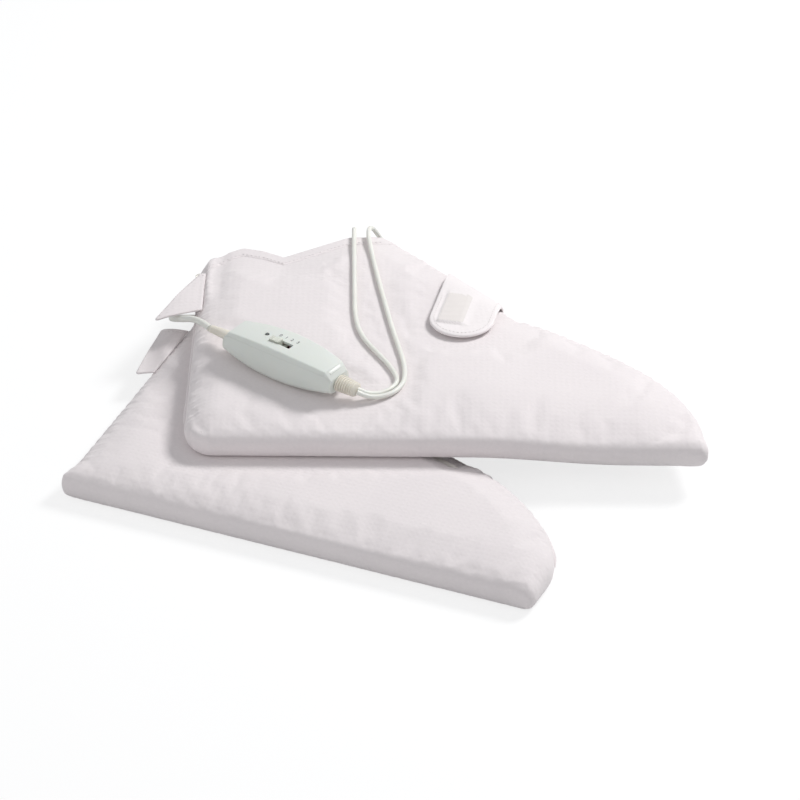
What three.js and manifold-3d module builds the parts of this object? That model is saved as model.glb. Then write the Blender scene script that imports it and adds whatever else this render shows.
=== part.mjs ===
// A pair of heated pedicure boots, lying one on the other, with their hand controller and cords.
// Millimetres and degrees. +Z is up, +X runs along the upper boot's sole towards its toe,
// and the origin is on the table under the middle of the pair.
import * as THREE from "three";
import { mergeVertices } from "three/addons/utils/BufferGeometryUtils.js";
import Module from "manifold-3d";

const wasm = await Module();
wasm.setup();

// Boot outline: u runs along the sole from heel to toe, v up the leg, w through the flat boot
const footLength = 365;
const legBack = 230;
const legFront = 276;
const legFrontU = 144;
const instepU = 240;
const heelRadius = 9;
const toeRadius = 12;
const cutOverrun = 31;
// How far the two boots' insteps rise, and how thick each boot lies
const upperInstep = 160;
const lowerInstep = 135;
const upperCrown = 26.5;
const lowerCrown = 24;
const mouthHeight = 21;
const mouthFade = 50;
// Height of the sole's boxed edge and of the sewn edge round the rest
const soleHigh = 21;
const soleLow = 2.2;
const seamHigh = 10.5;
const seamLow = 7.5;
const toeBoxRise = 28;
const toeBoxRamp = 34;
const heelBoxRise = 3;
const heelBoxRamp = 20;
const shoulder = 26;
const underRound = 18;
// Layers, from the outside in
const gap = 0.3;
const coverThickness = 1.2;
const pipingBulge = 0.8;
const feltThickness = 0.9;
const wireThickness = 0.5;
const wireWidth = 1.8;
const wirePitch = 30;
const wireMargin = 13;
const liningThickness = 1.2;
const cavityHeight = 6.4;
const coreLow = 5.7;
const coreAtSeam = 15;
const coreAtSole = 5;
const hemDepth = 14;
const heaterStop = 10;
const layerSplit = 9;
const straightness = 0.08;

// Thermostat, in the lower wadding near the heel
const thermostatSize = [20, 10];
const thermostatPlace = [58, 42];

// Where a lead goes into the hem
const grommetNeck = 2.6;
const grommetFlange = 3.6;
const grommetFlangeThickness = 1.4;
const grommetDepth = 9;
const grommetHeight = 4.1;
const leadHole = 1.1;
const upperGrommetU = 118;
const lowerGrommetU = 132;

// Instep strap: a tab sewn in the shin seam, closed on the boot with hook and loop
const strapWidth = 48;
const strapThickness = 1.8;
const strapBelowInstep = 27;
const strapBaseU = instepU - strapBelowInstep;
const strapEnd = 78;
const strapLean = 7;
const strapEdgeGap = 1.2;
const patchSize = 24;
const hookThickness = 0.9;
const loopThickness = 0.8;
const patchBack = 17;
const strapUnderRound = 8;
const recessMargin = 2;
const recessDepth = 3.9;
const recessWall = 1.3;

// Closure flaps at the back of each leg
const flapThickness = 1.8;
const flapBase = 5.2;
const flapPatchSize = [12, 28];
const upperFlapFoot = 162;
const upperFlapTop = 214;
const upperFlapReach = 29;
const lowerFlapFoot = 142;
const lowerFlapTop = 202;
const lowerFlapReach = 16;

// Where the boots lie
const upperHeel = [-141.3, -64.4];
const upperTurn = -0.6;
const lowerHeel = [-225.7, -76.5];
const lowerTurn = -21.8;

// Hand controller
const controllerPlace = [-69.6, 5.7];
const controllerTurn = -37;
const housingLength = 98;
const housingHeight = 27;
const housingTopHalf = 13;
const housingTopTaper = 4.5;
const bellyHalf = 17.5;
const bellyTaper = 6;
const housingArch = 5.2;
const bellyArch = 5.3;
const endFacet = 5;
const housingWall = 2;
const lidDepth = 3.5;
const cordUnderMiddle = 2.2;
const cordHeight = housingHeight / 2 - cordUnderMiddle;
const boardFromEnd = 19;
const boardSize = [housingLength - 2 * boardFromEnd, 20, 1.6];
const boardUnderLid = 15;
const boardHeight = housingHeight - boardUnderLid;
const boardRib = 2;
const ribFromBoardEnd = 6;
const ribPlace = boardSize[0] / 2 - ribFromBoardEnd;
const postFromEnd = 13;
const postPlace = housingLength / 2 - postFromEnd;
const postRadius = 3.6;
const screwMeet = 14;
const screwHead = 2.6;
const screwHeadHeight = 1.8;
const screwShank = 1.4;
const screwClearance = 0.35;
const screwSink = 1;
const knobSize = [9, 5];
const knobTravel = 9;
const knobRise = 1.6;
const knobPlateSize = [16, 8];
const knobPlateThickness = 1;
const knobStem = 1.92;
const knobPlace = [-1, -3];
const knobRidge = 0.5;
const switchSize = [24, 10];
const lightPlace = [-16.5, 0.6];
const lightRadius = 1.4;
const lightRise = 0.4;

// Strain reliefs: one ribbed for the two leads, one smooth for the mains cord
const ribCount = 7;
const ribRadius = 7;
const ribRoot = 5.4;
const ribEndRadius = 6;
const reliefNeck = 2.9;
const reliefFlange = 3.6;
const reliefFlangeThickness = 1.5;
const mainsReliefWide = 5.2;
const mainsReliefHigh = 3.6;
const mainsReliefEnd = 3;
const leadReliefTip = [61.6, 4.2, 7.4];
const mainsReliefTip = [-73.4, 4.8, 6.9];

// Cords
const leadDiameter = 3.6;
const mainsDiameter = 5;
const coilPlace = [-42, 188.45];
const coilOuter = 42.95;
const coilPitch = 5.6;
const layerPitch = 5.6;
const coilTurns = 3.5417;
const climbTuck = 1.6;
const plugTurn = 195;
const plugPlace = [-90, 212.2];
const plugLength = 36;
const plugWidth = 26;
const plugHeight = 13.8;
const pinLength = 19;
const pinRadius = 2;
const pinSpacing = 18.6;

// Materials
const fabric = new THREE.MeshStandardMaterial({ color: 0xeae5e5, roughness: 0.85, metalness: 0 });
const piping = new THREE.MeshStandardMaterial({ color: 0xe2dcdc, roughness: 0.8, metalness: 0 });
const wadding = new THREE.MeshStandardMaterial({ color: 0xf4f2ee, roughness: 0.95, metalness: 0 });
const felt = new THREE.MeshStandardMaterial({ color: 0xd8c9a8, roughness: 0.9, metalness: 0 });
const fleece = new THREE.MeshStandardMaterial({ color: 0xf0ebe6, roughness: 0.95, metalness: 0 });
const hook = new THREE.MeshStandardMaterial({ color: 0xe6e4e2, roughness: 0.9, metalness: 0 });
const shell = new THREE.MeshStandardMaterial({ color: 0xdfe2dc, roughness: 0.4, metalness: 0 });
const vinyl = new THREE.MeshStandardMaterial({ color: 0xe8e8e2, roughness: 0.45, metalness: 0 });
const lens = new THREE.MeshStandardMaterial({ color: 0x3a3a40, roughness: 0.2, metalness: 0 });
const board = new THREE.MeshStandardMaterial({ color: 0x2f6b3c, roughness: 0.5, metalness: 0 });
const dark = new THREE.MeshStandardMaterial({ color: 0x303236, roughness: 0.5, metalness: 0 });
const steel = new THREE.MeshStandardMaterial({ color: 0xb9bcc0, roughness: 0.3, metalness: 1 });

const mix = THREE.MathUtils.lerp;
const clamp = THREE.MathUtils.clamp;
const smooth = (x) => THREE.MathUtils.smoothstep(x, 0, 1);
const round = (x) => Math.sqrt(1 - (1 - clamp(x, 0, 1)) ** 2);
const flat = (u, v) => new THREE.Vector2(u, v);
const at = (x, y, z) => new THREE.Vector3(x, y, z);

// A closed mesh from points and triangles
function meshOf(points, faces) {
  const geometry = new THREE.BufferGeometry();
  geometry.setAttribute("position", new THREE.Float32BufferAttribute(points.flatMap((p) => p.toArray()), 3));
  geometry.setIndex(faces.flat());
  return geometry;
}

// A closed geometry as a solid that can be joined and cut
function solid(geometry) {
  const bare = geometry.clone();
  bare.deleteAttribute("normal");
  bare.deleteAttribute("uv");
  const merged = mergeVertices(bare);
  const vertProperties = new Float32Array(merged.attributes.position.array);
  const triVerts = new Uint32Array(merged.index.array);
  return new wasm.Manifold(new wasm.Mesh({ numProp: 3, vertProperties, triVerts }));
}

// A solid back as a geometry
function geometryOf(part) {
  const mesh = part.getMesh();
  const geometry = new THREE.BufferGeometry();
  geometry.setAttribute("position", new THREE.BufferAttribute(new Float32Array(mesh.vertProperties), 3));
  geometry.setIndex(new THREE.BufferAttribute(new Uint32Array(mesh.triVerts), 1));
  return geometry;
}

// A prism over a flat outline, from one height to another
function prism(points, low, high) {
  const outline = new THREE.Shape(points);
  const geometry = new THREE.ExtrudeGeometry(outline, { depth: high - low, bevelEnabled: false });
  return solid(geometry.translate(0, 0, low));
}

// A block between two corners
function block(low, high) {
  const size = at(...high).sub(at(...low));
  const middle = at(...high).add(at(...low)).divideScalar(2);
  return solid(new THREE.BoxGeometry(...size.toArray()).translate(...middle.toArray()));
}

// A round bar along z
function bar(radius, low, high, x, y, sides) {
  const geometry = new THREE.CylinderGeometry(radius, radius, high - low, sides);
  return solid(geometry.rotateX(Math.PI / 2).translate(x, y, (low + high) / 2));
}

// A closed body between an upper and a lower surface. Each surface is a list of rings,
// from its rim inwards, and the innermost ring is filled with the outer skin's own triangles.
function body(upper, lower) {
  const points = [...upper.flat(), ...lower.flat()];
  const faces = [];
  const count = upper[0].length;
  const surface = (rings, start, flip) => {
    const face = (a, b, c) => faces.push(flip ? [a, c, b] : [a, b, c]);
    for (let k = 0; k + 1 < rings.length; k += 1) {
      for (let i = 0; i < count; i += 1) {
        const j = (i + 1) % count;
        const near = start + k * count;
        const far = near + count;
        face(near + i, near + j, far + i);
        face(near + j, far + j, far + i);
      }
    }
    const last = start + (rings.length - 1) * count;
    const contour = rings[rings.length - 1].map((p) => flat(p.x, p.y));
    for (const [a, b, c] of rings.cap ?? THREE.ShapeUtils.triangulateShape(contour, [])) {
      face(last + a, last + b, last + c);
    }
  };
  surface(upper, 0, false);
  surface(lower, upper.length * count, true);
  for (let i = 0; i < count; i += 1) {
    const j = (i + 1) % count;
    const under = upper.length * count;
    faces.push([j, i, under + i]);
    faces.push([j, under + i, under + j]);
  }
  return meshOf(points, faces);
}

// A closed body through a row of like sections, with flat ends
function loft(sections) {
  const count = sections[0].length;
  const points = sections.flat();
  const faces = [];
  for (let k = 0; k + 1 < sections.length; k += 1) {
    for (let i = 0; i < count; i += 1) {
      const j = (i + 1) % count;
      const near = k * count;
      const far = near + count;
      faces.push([near + i, near + j, far + j]);
      faces.push([near + i, far + j, far + i]);
    }
  }
  const last = (sections.length - 1) * count;
  for (let i = 1; i + 1 < count; i += 1) {
    faces.push([0, i + 1, i]);
    faces.push([last, last + i, last + i + 1]);
  }
  return meshOf(points, faces);
}

// A section round a path's point: across is level, and the other way is square to the path
function sectionAt(place, along, wide, high, sides) {
  const across = at(0, 0, 1).cross(along).normalize();
  const upward = along.clone().cross(across).normalize();
  const section = [];
  for (let i = 0; i < sides; i += 1) {
    const turn = (2 * Math.PI * (i + 1 / 2)) / sides;
    const side = across.clone().multiplyScalar(wide * Math.cos(turn));
    section.push(place.clone().add(side).addScaledVector(upward, high * Math.sin(turn)));
  }
  return section;
}

// An outline without the points that lie almost on the line between their neighbours
function thinned(points) {
  const kept = [];
  points.forEach((p, i) => {
    const before = kept[kept.length - 1] ?? points[points.length - 1];
    const run = points[(i + 1) % points.length].clone().sub(before).normalize();
    if (Math.abs(p.clone().sub(before).cross(run)) > straightness) kept.push(p);
  });
  return kept;
}

// The boot's outline, as a row of curves with the steps that each is drawn in
function bootEdges(instep) {
  const top = legFront + cutOverrun;
  const shin = flat(legFrontU - instepU, legFront - instep).normalize();
  const topFront = flat(legFrontU, legFront).addScaledVector(shin, cutOverrun / shin.y);
  const toeStart = flat(footLength, toeRadius);
  const soleEnd = flat(footLength - toeRadius, 0);
  const toeTop = flat(instepU, instep);
  const toePull = [flat(1, 0.42), flat(0.62, 0.8)].map((share) => (
    flat(mix(instepU, footLength, share.x), instep * share.y)));
  const line = (a, b) => new THREE.LineCurve(a, b);
  const corner = (a, b, c) => new THREE.QuadraticBezierCurve(a, b, c);
  return [
    { name: "back", curve: line(flat(0, top), flat(0, heelRadius)), steps: 8 },
    { name: "heel", curve: corner(flat(0, heelRadius), flat(0, 0), flat(heelRadius, 0)), steps: 3 },
    { name: "sole", curve: line(flat(heelRadius, 0), soleEnd), steps: 8 },
    { name: "tip", curve: corner(soleEnd, flat(footLength, 0), toeStart), steps: 3 },
    { name: "toe", curve: new THREE.CubicBezierCurve(toeStart, ...toePull, toeTop), steps: 9 },
    { name: "shin", curve: line(toeTop, topFront), steps: 7 },
    { name: "top", curve: line(topFront, flat(0, top)), steps: 4 },
  ];
}

// How high the mouth's edge is along the leg's width: a hem that lies in a soft wave
const mouthWaveShares = [[0, 0], [0.1, 0.16], [0.22, 0.265], [0.33, 0.06], [0.44, -0.24],
  [0.58, -0.115], [0.77, 0.06], [1, 0]];
function mouthLine(drop) {
  return mouthWaveShares.map(([along, wave]) => (
    flat(legFrontU * along, mix(legBack, legFront, along) + (legFront - legBack) * wave - drop)));
}
function mouthAt(u) {
  const line = mouthLine(0);
  const next = Math.max(1, line.findIndex((p) => p.x >= u));
  const [a, b] = u >= legFrontU ? line.slice(-2) : [line[next - 1], line[next]];
  const slope = (b.y - a.y) / (b.x - a.x);
  return { v: a.y + slope * (clamp(u, 0, legFrontU) - a.x), slope };
}

// What lies beyond the mouth's edge, less a depth
function beyondMouth(drop) {
  const line = mouthLine(drop);
  const side = cutOverrun;
  const far = legFront + 2 * cutOverrun;
  const start = flat(-side, line[0].y);
  const end = flat(legFrontU + 2 * side, line[line.length - 1].y);
  return prism([start, ...line, end, flat(end.x, far), flat(-side, far)], -side, 2 * side);
}

// Ring spacing from the rim inwards, as shares of the rounding's width
const topRingShares = [0, 0.05, 0.17, 0.36, 0.62, 1];
const underRingShares = [0, 0.07, 0.25, 0.5, 1];

function bootForm(instep, crown) {
  const outline = [];
  const starts = {};
  for (const edge of bootEdges(instep)) {
    starts[edge.name] = outline.length;
    outline.push(...edge.curve.getPoints(edge.steps).slice(0, -1));
  }
  starts.end = outline.length;
  const closed = [...outline.slice(0, starts.top + 1)];
  const spine = [
    flat(legFrontU / 2, legFront - coreAtSeam),
    flat(legFrontU * 0.56, instep / 2),
    flat(footLength - instep * 0.42, instep * 0.32),
  ];
  const nearest = (p, line) => {
    let best = null;
    for (let i = 0; i + 1 < line.length; i += 1) {
      const run = line[i + 1].clone().sub(line[i]);
      const share = clamp(p.clone().sub(line[i]).dot(run) / run.lengthSq(), 0, 1);
      const foot = line[i].clone().addScaledVector(run, share);
      if (!best || foot.distanceTo(p) < best.distanceTo(p)) best = foot;
    }
    return best;
  };
  // 1 where the edge is boxed, along the sole and round the toe, and 0 where it is sewn flat
  const boxed = (p) => {
    const front = p.x > footLength / 2;
    const rise = front ? toeBoxRise : heelBoxRise;
    return clamp(1 - (p.y - rise) / (front ? toeBoxRamp : heelBoxRamp), 0, 1);
  };
  const inward = outline.map((p) => nearest(p, spine).sub(p).normalize());
  const crownAt = (p) => {
    const depth = (mouthAt(p.x).v - p.y) / mouthFade;
    return mix(Math.min(mouthHeight, crown), crown, smooth(depth));
  };
  const topAt = (p, inset, own) => {
    const foot = nearest(p, closed);
    const edge = mix(seamHigh, soleHigh, boxed(own));
    const share = (foot.distanceTo(p) - inset) / (shoulder - inset);
    return edge + (crownAt(p) - inset - edge) * round(share);
  };
  const bottomAt = (p, inset, own) => {
    const foot = nearest(p, closed);
    const edge = mix(seamLow, soleLow, boxed(own));
    const share = (foot.distanceTo(p) - inset) / (underRound - inset);
    return edge - (edge - inset) * round(share);
  };
  const ring = (depths) => outline.map((p, i) => p.clone().addScaledVector(inward[i], depths(i)));
  const lift = (points, heights) => points.map((p, i) => at(p.x, p.y, heights(p, i)));
  // The rings of the boot's upper and lower skin, drawn in by an inset and opened at the seam
  const fillOf = (width) => THREE.ShapeUtils.triangulateShape(ring(() => width), []);
  const topFill = fillOf(shoulder);
  const underFill = fillOf(underRound);
  const topRings = (inset, seam) => Object.assign(topRingShares.map((share, k) => (
    lift(ring(() => inset + share * shoulder), (p, i) => topAt(p, inset, outline[i]) + (k ? 0 : seam)))),
  { cap: topFill });
  const underRings = (inset, seam) => Object.assign(underRingShares.map((share, k) => (
    lift(ring(() => inset + share * underRound),
      (p, i) => bottomAt(p, inset, outline[i]) - (k ? 0 : seam)))),
  { cap: underFill });
  const core = (extra) => thinned(ring((i) => mix(coreAtSeam, coreAtSole, boxed(outline[i])) + extra));
  return { outline, starts, inward, boxed, topRings, underRings, core, ring, lift, crownAt, instep, crown };
}

// A strip round part of the outline, between the two covers
function edgeStrip(form, from, to, bulge) {
  const sections = [];
  for (let i = from; i <= to; i += 1) {
    const k = i % form.outline.length;
    const ends = i === from || i === to;
    const beside = form.outline[(i === from ? i + 1 : i - 1) % form.outline.length];
    const run = beside.clone().sub(form.outline[k]).normalize();
    const place = form.outline[k].clone().addScaledVector(run, ends ? gap / 2 : 0);
    const share = form.boxed(form.outline[k]);
    const low = mix(seamLow, soleLow, share) + gap / 2;
    const high = mix(seamHigh, soleHigh, share) - gap / 2;
    const outer = place.clone().addScaledVector(form.inward[k], -bulge);
    const inner = place.clone().addScaledVector(form.inward[k], coverThickness);
    sections.push([at(inner.x, inner.y, low), at(inner.x, inner.y, high), at(outer.x, outer.y, high),
      at(outer.x, outer.y, low)]);
  }
  return solid(loft(sections));
}

// The heating wire in even rows under the felt, as a flat tape
function heaterWire(outline, base, height) {
  const spanAt = (v) => {
    const crossings = [];
    outline.forEach((a, i) => {
      const b = outline[(i + 1) % outline.length];
      if ((a.y > v) !== (b.y > v)) crossings.push(mix(a.x, b.x, (v - a.y) / (b.y - a.y)));
    });
    return [Math.min(...crossings) + wireMargin, Math.max(...crossings) - wireMargin];
  };
  const rows = [];
  const stop = legBack - hemDepth - heaterStop - wireMargin;
  for (let v = coreAtSole + wireMargin; v < stop; v += wirePitch) rows.push({ v, span: spanAt(v) });
  const centre = [];
  rows.forEach((row, j) => {
    const turns = (side, k) => (rows[k] ? rows[k].span[side] : row.span[side]);
    const left = Math.max(row.span[0], turns(0, j % 2 ? j + 1 : j - 1));
    const right = Math.min(row.span[1], turns(1, j % 2 ? j - 1 : j + 1));
    const ends = j % 2 ? [right, left] : [left, right];
    centre.push(flat(ends[0], row.v), flat(ends[1], row.v));
  });
  const bend = wirePitch / 3;
  const path = [centre[0]];
  for (let i = 1; i + 1 < centre.length; i += 1) {
    const before = centre[i - 1].clone().sub(centre[i]).normalize();
    const after = centre[i + 1].clone().sub(centre[i]).normalize();
    const a = centre[i].clone().addScaledVector(before, bend);
    const b = centre[i].clone().addScaledVector(after, bend);
    path.push(...new THREE.QuadraticBezierCurve(a, centre[i], b).getPoints(3));
  }
  path.push(centre[centre.length - 1]);
  const sections = path.map((p, i) => {
    const run = path[Math.min(i + 1, path.length - 1)].clone().sub(path[Math.max(i - 1, 0)]).normalize();
    const side = flat(-run.y, run.x).multiplyScalar(wireWidth / 2);
    const [a, b] = [p.clone().add(side), p.clone().sub(side)];
    const top = base + height;
    return [at(a.x, a.y, base), at(a.x, a.y, top), at(b.x, b.y, top), at(b.x, b.y, base)];
  });
  return solid(loft(sections));
}

// The instep strap's outline in the boot's plane: a tab from the shin seam, round at its end
function strapColumns(form) {
  const shin = flat(legFrontU - instepU, legFront - form.instep).normalize();
  const inward = flat(-shin.y, shin.x);
  const base = flat(instepU, form.instep).addScaledVector(shin, (strapBaseU - instepU) / shin.x);
  const lean = THREE.MathUtils.degToRad(strapLean);
  const along = flat(-Math.sin(lean), -Math.cos(lean));
  const across = flat(-along.y, along.x);
  const steepness = along.dot(inward);
  const columns = [];
  const count = 8;
  for (let j = 0; j <= count; j += 1) {
    const side = -Math.cos((Math.PI * j) / count);
    const offset = (side * strapWidth) / 2;
    const start = base.clone().addScaledVector(shin, offset / across.dot(shin));
    const reach = strapEnd - strapWidth / 2 + (strapWidth / 2) * Math.sqrt(1 - side * side);
    const end = base.clone().addScaledVector(across, offset).addScaledVector(along, reach);
    columns.push({ start, length: end.clone().sub(start).dot(along) });
  }
  return { columns, along, steepness, base, across };
}

// The strap's sheet, laid over the boot's rounded edge. The profile gives, for a share of the
// way round the edge, the distance in from the seam and the height of the sheet's two faces.
function strapSheet(form, profile, endHeights) {
  const { columns, along, steepness } = strapColumns(form);
  const steps = 6;
  const flats = 3;
  const rows = [[], []];
  columns.forEach(({ start, length }, j) => {
    const inner = [];
    const outer = [];
    for (let k = 0; k <= steps; k += 1) {
      profile(k / steps).forEach(([depth, height], face) => {
        const p = start.clone().addScaledVector(along, depth / steepness);
        (face ? outer : inner).push(at(p.x, p.y, height));
      });
    }
    const [from] = profile(1);
    for (let k = 1; k <= flats; k += 1) {
      const reach = mix(from[0] / steepness, length, k / flats);
      const p = start.clone().addScaledVector(along, reach);
      inner.push(at(p.x, p.y, endHeights[0]));
      outer.push(at(p.x, p.y, endHeights[1]));
    }
    rows[0][j] = inner;
    rows[1][j] = outer;
  });
  const count = rows[0][0].length;
  const sections = [];
  for (let k = 0; k < count; k += 1) {
    const under = rows[0].map((row) => row[k]);
    const over = rows[1].map((row) => row[k]).reverse();
    sections.push([...under, ...over]);
  }
  return sections;
}

// A closed body over strap sections, whose ends are strips between the two faces
function strapBody(sections, flip) {
  const count = sections[0].length;
  const half = count / 2;
  const points = sections.flat();
  const faces = [];
  const face = (a, b, c) => faces.push(flip ? [a, c, b] : [a, b, c]);
  for (let k = 0; k + 1 < sections.length; k += 1) {
    for (let i = 0; i < count; i += 1) {
      const j = (i + 1) % count;
      const near = k * count;
      const far = near + count;
      face(near + i, near + j, far + j);
      face(near + i, far + j, far + i);
    }
  }
  const last = (sections.length - 1) * count;
  for (let i = 0; i + 1 < half; i += 1) {
    const across = count - 1 - i;
    face(i, across, i + 1);
    face(i + 1, across, across - 1);
    face(last + i, last + i + 1, last + across);
    face(last + i + 1, last + across - 1, last + across);
  }
  return solid(meshOf(points, faces));
}

// A thin square patch under the strap's end, turned with the strap
function patch(form, size, low, high) {
  const { base, along, across } = strapColumns(form);
  const centre = base.clone().addScaledVector(along, strapEnd - patchBack);
  const reach = size / 2;
  const corner = (a, b) => (
    centre.clone().addScaledVector(along, a * reach).addScaledVector(across, b * reach));
  return prism([corner(-1, -1), corner(1, -1), corner(1, 1), corner(-1, 1)], low, high);
}

const group = new THREE.Group();

function addPart(parent, name, part, material) {
  const geometry = part.isBufferGeometry ? part : geometryOf(part);
  geometry.computeVertexNormals();
  const mesh = new THREE.Mesh(geometry, material);
  mesh.name = name;
  parent.add(mesh);
  return mesh;
}

// One boot, layer by layer. The instep strap lies on its upper or its under face.
function addBoot(name, form, strapOnTop, grommetU, flapShares) {
  const boot = new THREE.Group();
  const add = (piece, part, material) => addPart(boot, `${name}_${piece}`, part, material);
  const coverCut = beyondMouth(hemDepth + gap);
  const mouthCut = beyondMouth(0);
  const heaterCut = beyondMouth(hemDepth + heaterStop);
  const heaterHeight = feltThickness + gap + wireThickness;
  const liningLow = coreLow + gap + heaterHeight + gap;
  const liningHigh = liningLow + 2 * liningThickness + cavityHeight;
  const coreHigh = liningHigh + gap + heaterHeight + gap;

  // Recess under the strap, where it lies against the table
  const { columns, along, base, across } = strapColumns(form);
  const recess = (margin) => {
    const half = strapWidth / 2 + margin;
    const ends = [-1, 1].map((side) => columns[side < 0 ? 0 : columns.length - 1].start.clone()
      .addScaledVector(across, side * margin).addScaledVector(along, -underRound));
    const arc = [];
    for (let k = 0; k <= 6; k += 1) {
      const turn = (Math.PI * k) / 6;
      arc.push(base.clone().addScaledVector(along, strapEnd - strapWidth / 2 + half * Math.sin(turn))
        .addScaledVector(across, half * Math.cos(turn)));
    }
    return [ends[1], ...arc, ends[0]].reverse();
  };

  // Cover: two panels, a boxed strip along the sole, and piping in the seams
  const coverTop = solid(body(form.topRings(0, gap / 2), form.topRings(coverThickness, gap / 2)));
  add("top_panel", coverTop.subtract(coverCut), fabric);
  let coverUnder = solid(body(form.underRings(coverThickness, gap / 2), form.underRings(0, gap / 2)));
  if (!strapOnTop) {
    const wall = prism(recess(recessMargin + recessWall), 0, recessDepth + recessWall);
    const inside = solid(body(form.topRings(0, 0), form.underRings(0, 0)));
    const hollow = prism(recess(recessMargin), -recessDepth, recessDepth);
    coverUnder = coverUnder.add(wall.intersect(inside)).subtract(hollow);
    const rim = prism(recess(recessMargin + recessWall), seamLow - gap / 2, seamHigh);
    coverUnder = coverUnder.subtract(rim);
  }
  add("bottom_panel", coverUnder.subtract(coverCut), fabric);
  const gussetFrom = form.starts.heel;
  const gussetTo = form.starts.toe + 3;
  add("sole_gusset", edgeStrip(form, gussetFrom, gussetTo, 0), fabric);
  add("front_piping", edgeStrip(form, gussetTo, form.starts.top, pipingBulge).subtract(coverCut), piping);
  add("back_piping", edgeStrip(form, 0, gussetFrom, pipingBulge).subtract(coverCut), piping);

  // Wadding above and below, with room for the heated sock
  const skin = coverThickness + gap;
  const pocket = prism(form.core(0), coreLow, coreHigh);
  const flatRing = (height) => [form.lift(form.ring(() => skin), () => height)];
  const topFill = solid(body(form.topRings(skin, 0), flatRing(layerSplit + gap / 2)));
  add("top_wadding", topFill.subtract(pocket).subtract(coverCut), wadding);
  const [tu, tv] = thermostatPlace;
  const [tl, tw] = thermostatSize;
  const well = block([tu - gap, tv - gap, 0], [tu + tl + gap, tv + tw + gap, layerSplit]);
  let underFill = solid(body(flatRing(layerSplit - gap / 2), form.underRings(skin, 0)));
  underFill = underFill.subtract(pocket).subtract(coverCut).subtract(well);
  if (!strapOnTop) {
    const wallSide = recess(recessMargin + recessWall + gap);
    underFill = underFill.subtract(prism(wallSide, -gap, recessDepth + recessWall + gap));
  }
  add("bottom_wadding", underFill, wadding);
  add("thermostat", block([tu, tv, skin], [tu + tl, tv + tw, coreLow]), dark);

  // Heating elements: felt with a flat heating wire laid in rows along its underside
  const feltShape = form.core(gap);
  const underFelt = prism(feltShape, liningLow - gap - feltThickness, liningLow - gap);
  add("bottom_heater", underFelt.subtract(heaterCut), felt);
  add("bottom_heating_wire", heaterWire(feltShape, coreLow + gap, wireThickness), vinyl);
  const overFelt = prism(feltShape, coreHigh - gap - feltThickness, coreHigh - gap);
  add("top_heater", overFelt.subtract(heaterCut), felt);
  add("top_heating_wire", heaterWire(feltShape, liningHigh + gap, wireThickness), vinyl);

  // The lining that the foot goes between: two panels, open at the mouth, whose edges are sewn
  // into the boot's own seams
  const liningShape = form.core(gap);
  const underLining = prism(liningShape, liningLow, liningLow + liningThickness);
  add("lining_bottom", underLining.subtract(mouthCut), fleece);
  const overLining = prism(liningShape, liningHigh - liningThickness, liningHigh);
  add("lining_top", overLining.subtract(mouthCut), fleece);

  // Bound hem round the mouth, with the sleeve that lets the lead in
  const whole = solid(body(form.topRings(0, 0), form.underRings(0, 0)));
  const opening = prism(form.core(0), liningLow - gap, liningHigh + gap);
  const mouth = mouthAt(grommetU);
  const sleeveTurn = Math.atan(mouth.slope);
  const seat = (geometry) => geometry.rotateZ(sleeveTurn).translate(grommetU, mouth.v, grommetHeight);
  const hole = new THREE.CylinderGeometry(grommetNeck + gap, grommetNeck + gap, 2 * grommetDepth, 16);
  const hem = whole.subtract(mouthCut).intersect(beyondMouth(hemDepth)).subtract(opening);
  add("mouth_hem", hem.subtract(solid(seat(hole))), piping);
  const face = gap + grommetFlangeThickness;
  const profile = [[leadHole, -grommetDepth + face], [grommetNeck, -grommetDepth + face], [grommetNeck, gap],
    [grommetFlange, gap], [grommetFlange, face], [leadHole, face]].map(([r, y]) => flat(r, y));
  add("lead_grommet", seat(new THREE.LatheGeometry([...profile, profile[0]], 16)), vinyl);

  // Instep strap with its hook patch, and the loop patch on the boot
  const stack = gap + loopThickness + gap + hookThickness + gap;
  const rise = form.crown - seamHigh;
  if (strapOnTop) {
    const overEdge = (share) => {
      if (share === 0) return [[-strapEdgeGap, seamLow], [-strapEdgeGap - strapThickness, seamLow]];
      const turn = (((share * 6 - 1) / 5) * Math.PI) / 2;
      const foot = flat(shoulder * (1 - Math.cos(turn)), seamHigh + rise * Math.sin(turn));
      const out = flat(-rise * Math.cos(turn), shoulder * Math.sin(turn)).normalize();
      const clear = mix(strapEdgeGap, stack, smooth(turn));
      return [clear, clear + strapThickness].map((lifted) => (
        foot.clone().addScaledVector(out, lifted).toArray()));
    };
    const ends = [form.crown + stack, form.crown + stack + strapThickness];
    add("instep_strap", strapBody(strapSheet(form, overEdge, ends), false), fabric);
    const hookTop = form.crown + stack - gap;
    const loopLow = form.crown + gap;
    add("strap_hook_patch", patch(form, patchSize, hookTop - hookThickness, hookTop), hook);
    add("strap_loop_patch", patch(form, patchSize, loopLow, loopLow + loopThickness), hook);
  } else {
    const reach = strapEdgeGap + gap + pipingBulge;
    const underEdge = (share) => {
      if (share === 0) return [[-reach, seamHigh], [-reach - strapThickness, seamHigh]];
      const turn = (((share * 6 - 1) / 5) * Math.PI) / 2;
      return [0, strapThickness].map((lifted) => [
        strapUnderRound - (strapUnderRound + reach + lifted) * Math.cos(turn),
        seamLow - (seamLow - gap - strapThickness + lifted) * Math.sin(turn)]);
    };
    add("instep_strap", strapBody(strapSheet(form, underEdge, [gap + strapThickness, gap]), true), fabric);
    const above = gap + strapThickness + gap;
    add("strap_hook_patch", patch(form, patchSize, above, above + hookThickness / 2), hook);
    const loopTop = recessDepth - gap;
    add("strap_loop_patch", patch(form, patchSize, loopTop - loopThickness / 2, loopTop), hook);
  }

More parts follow.
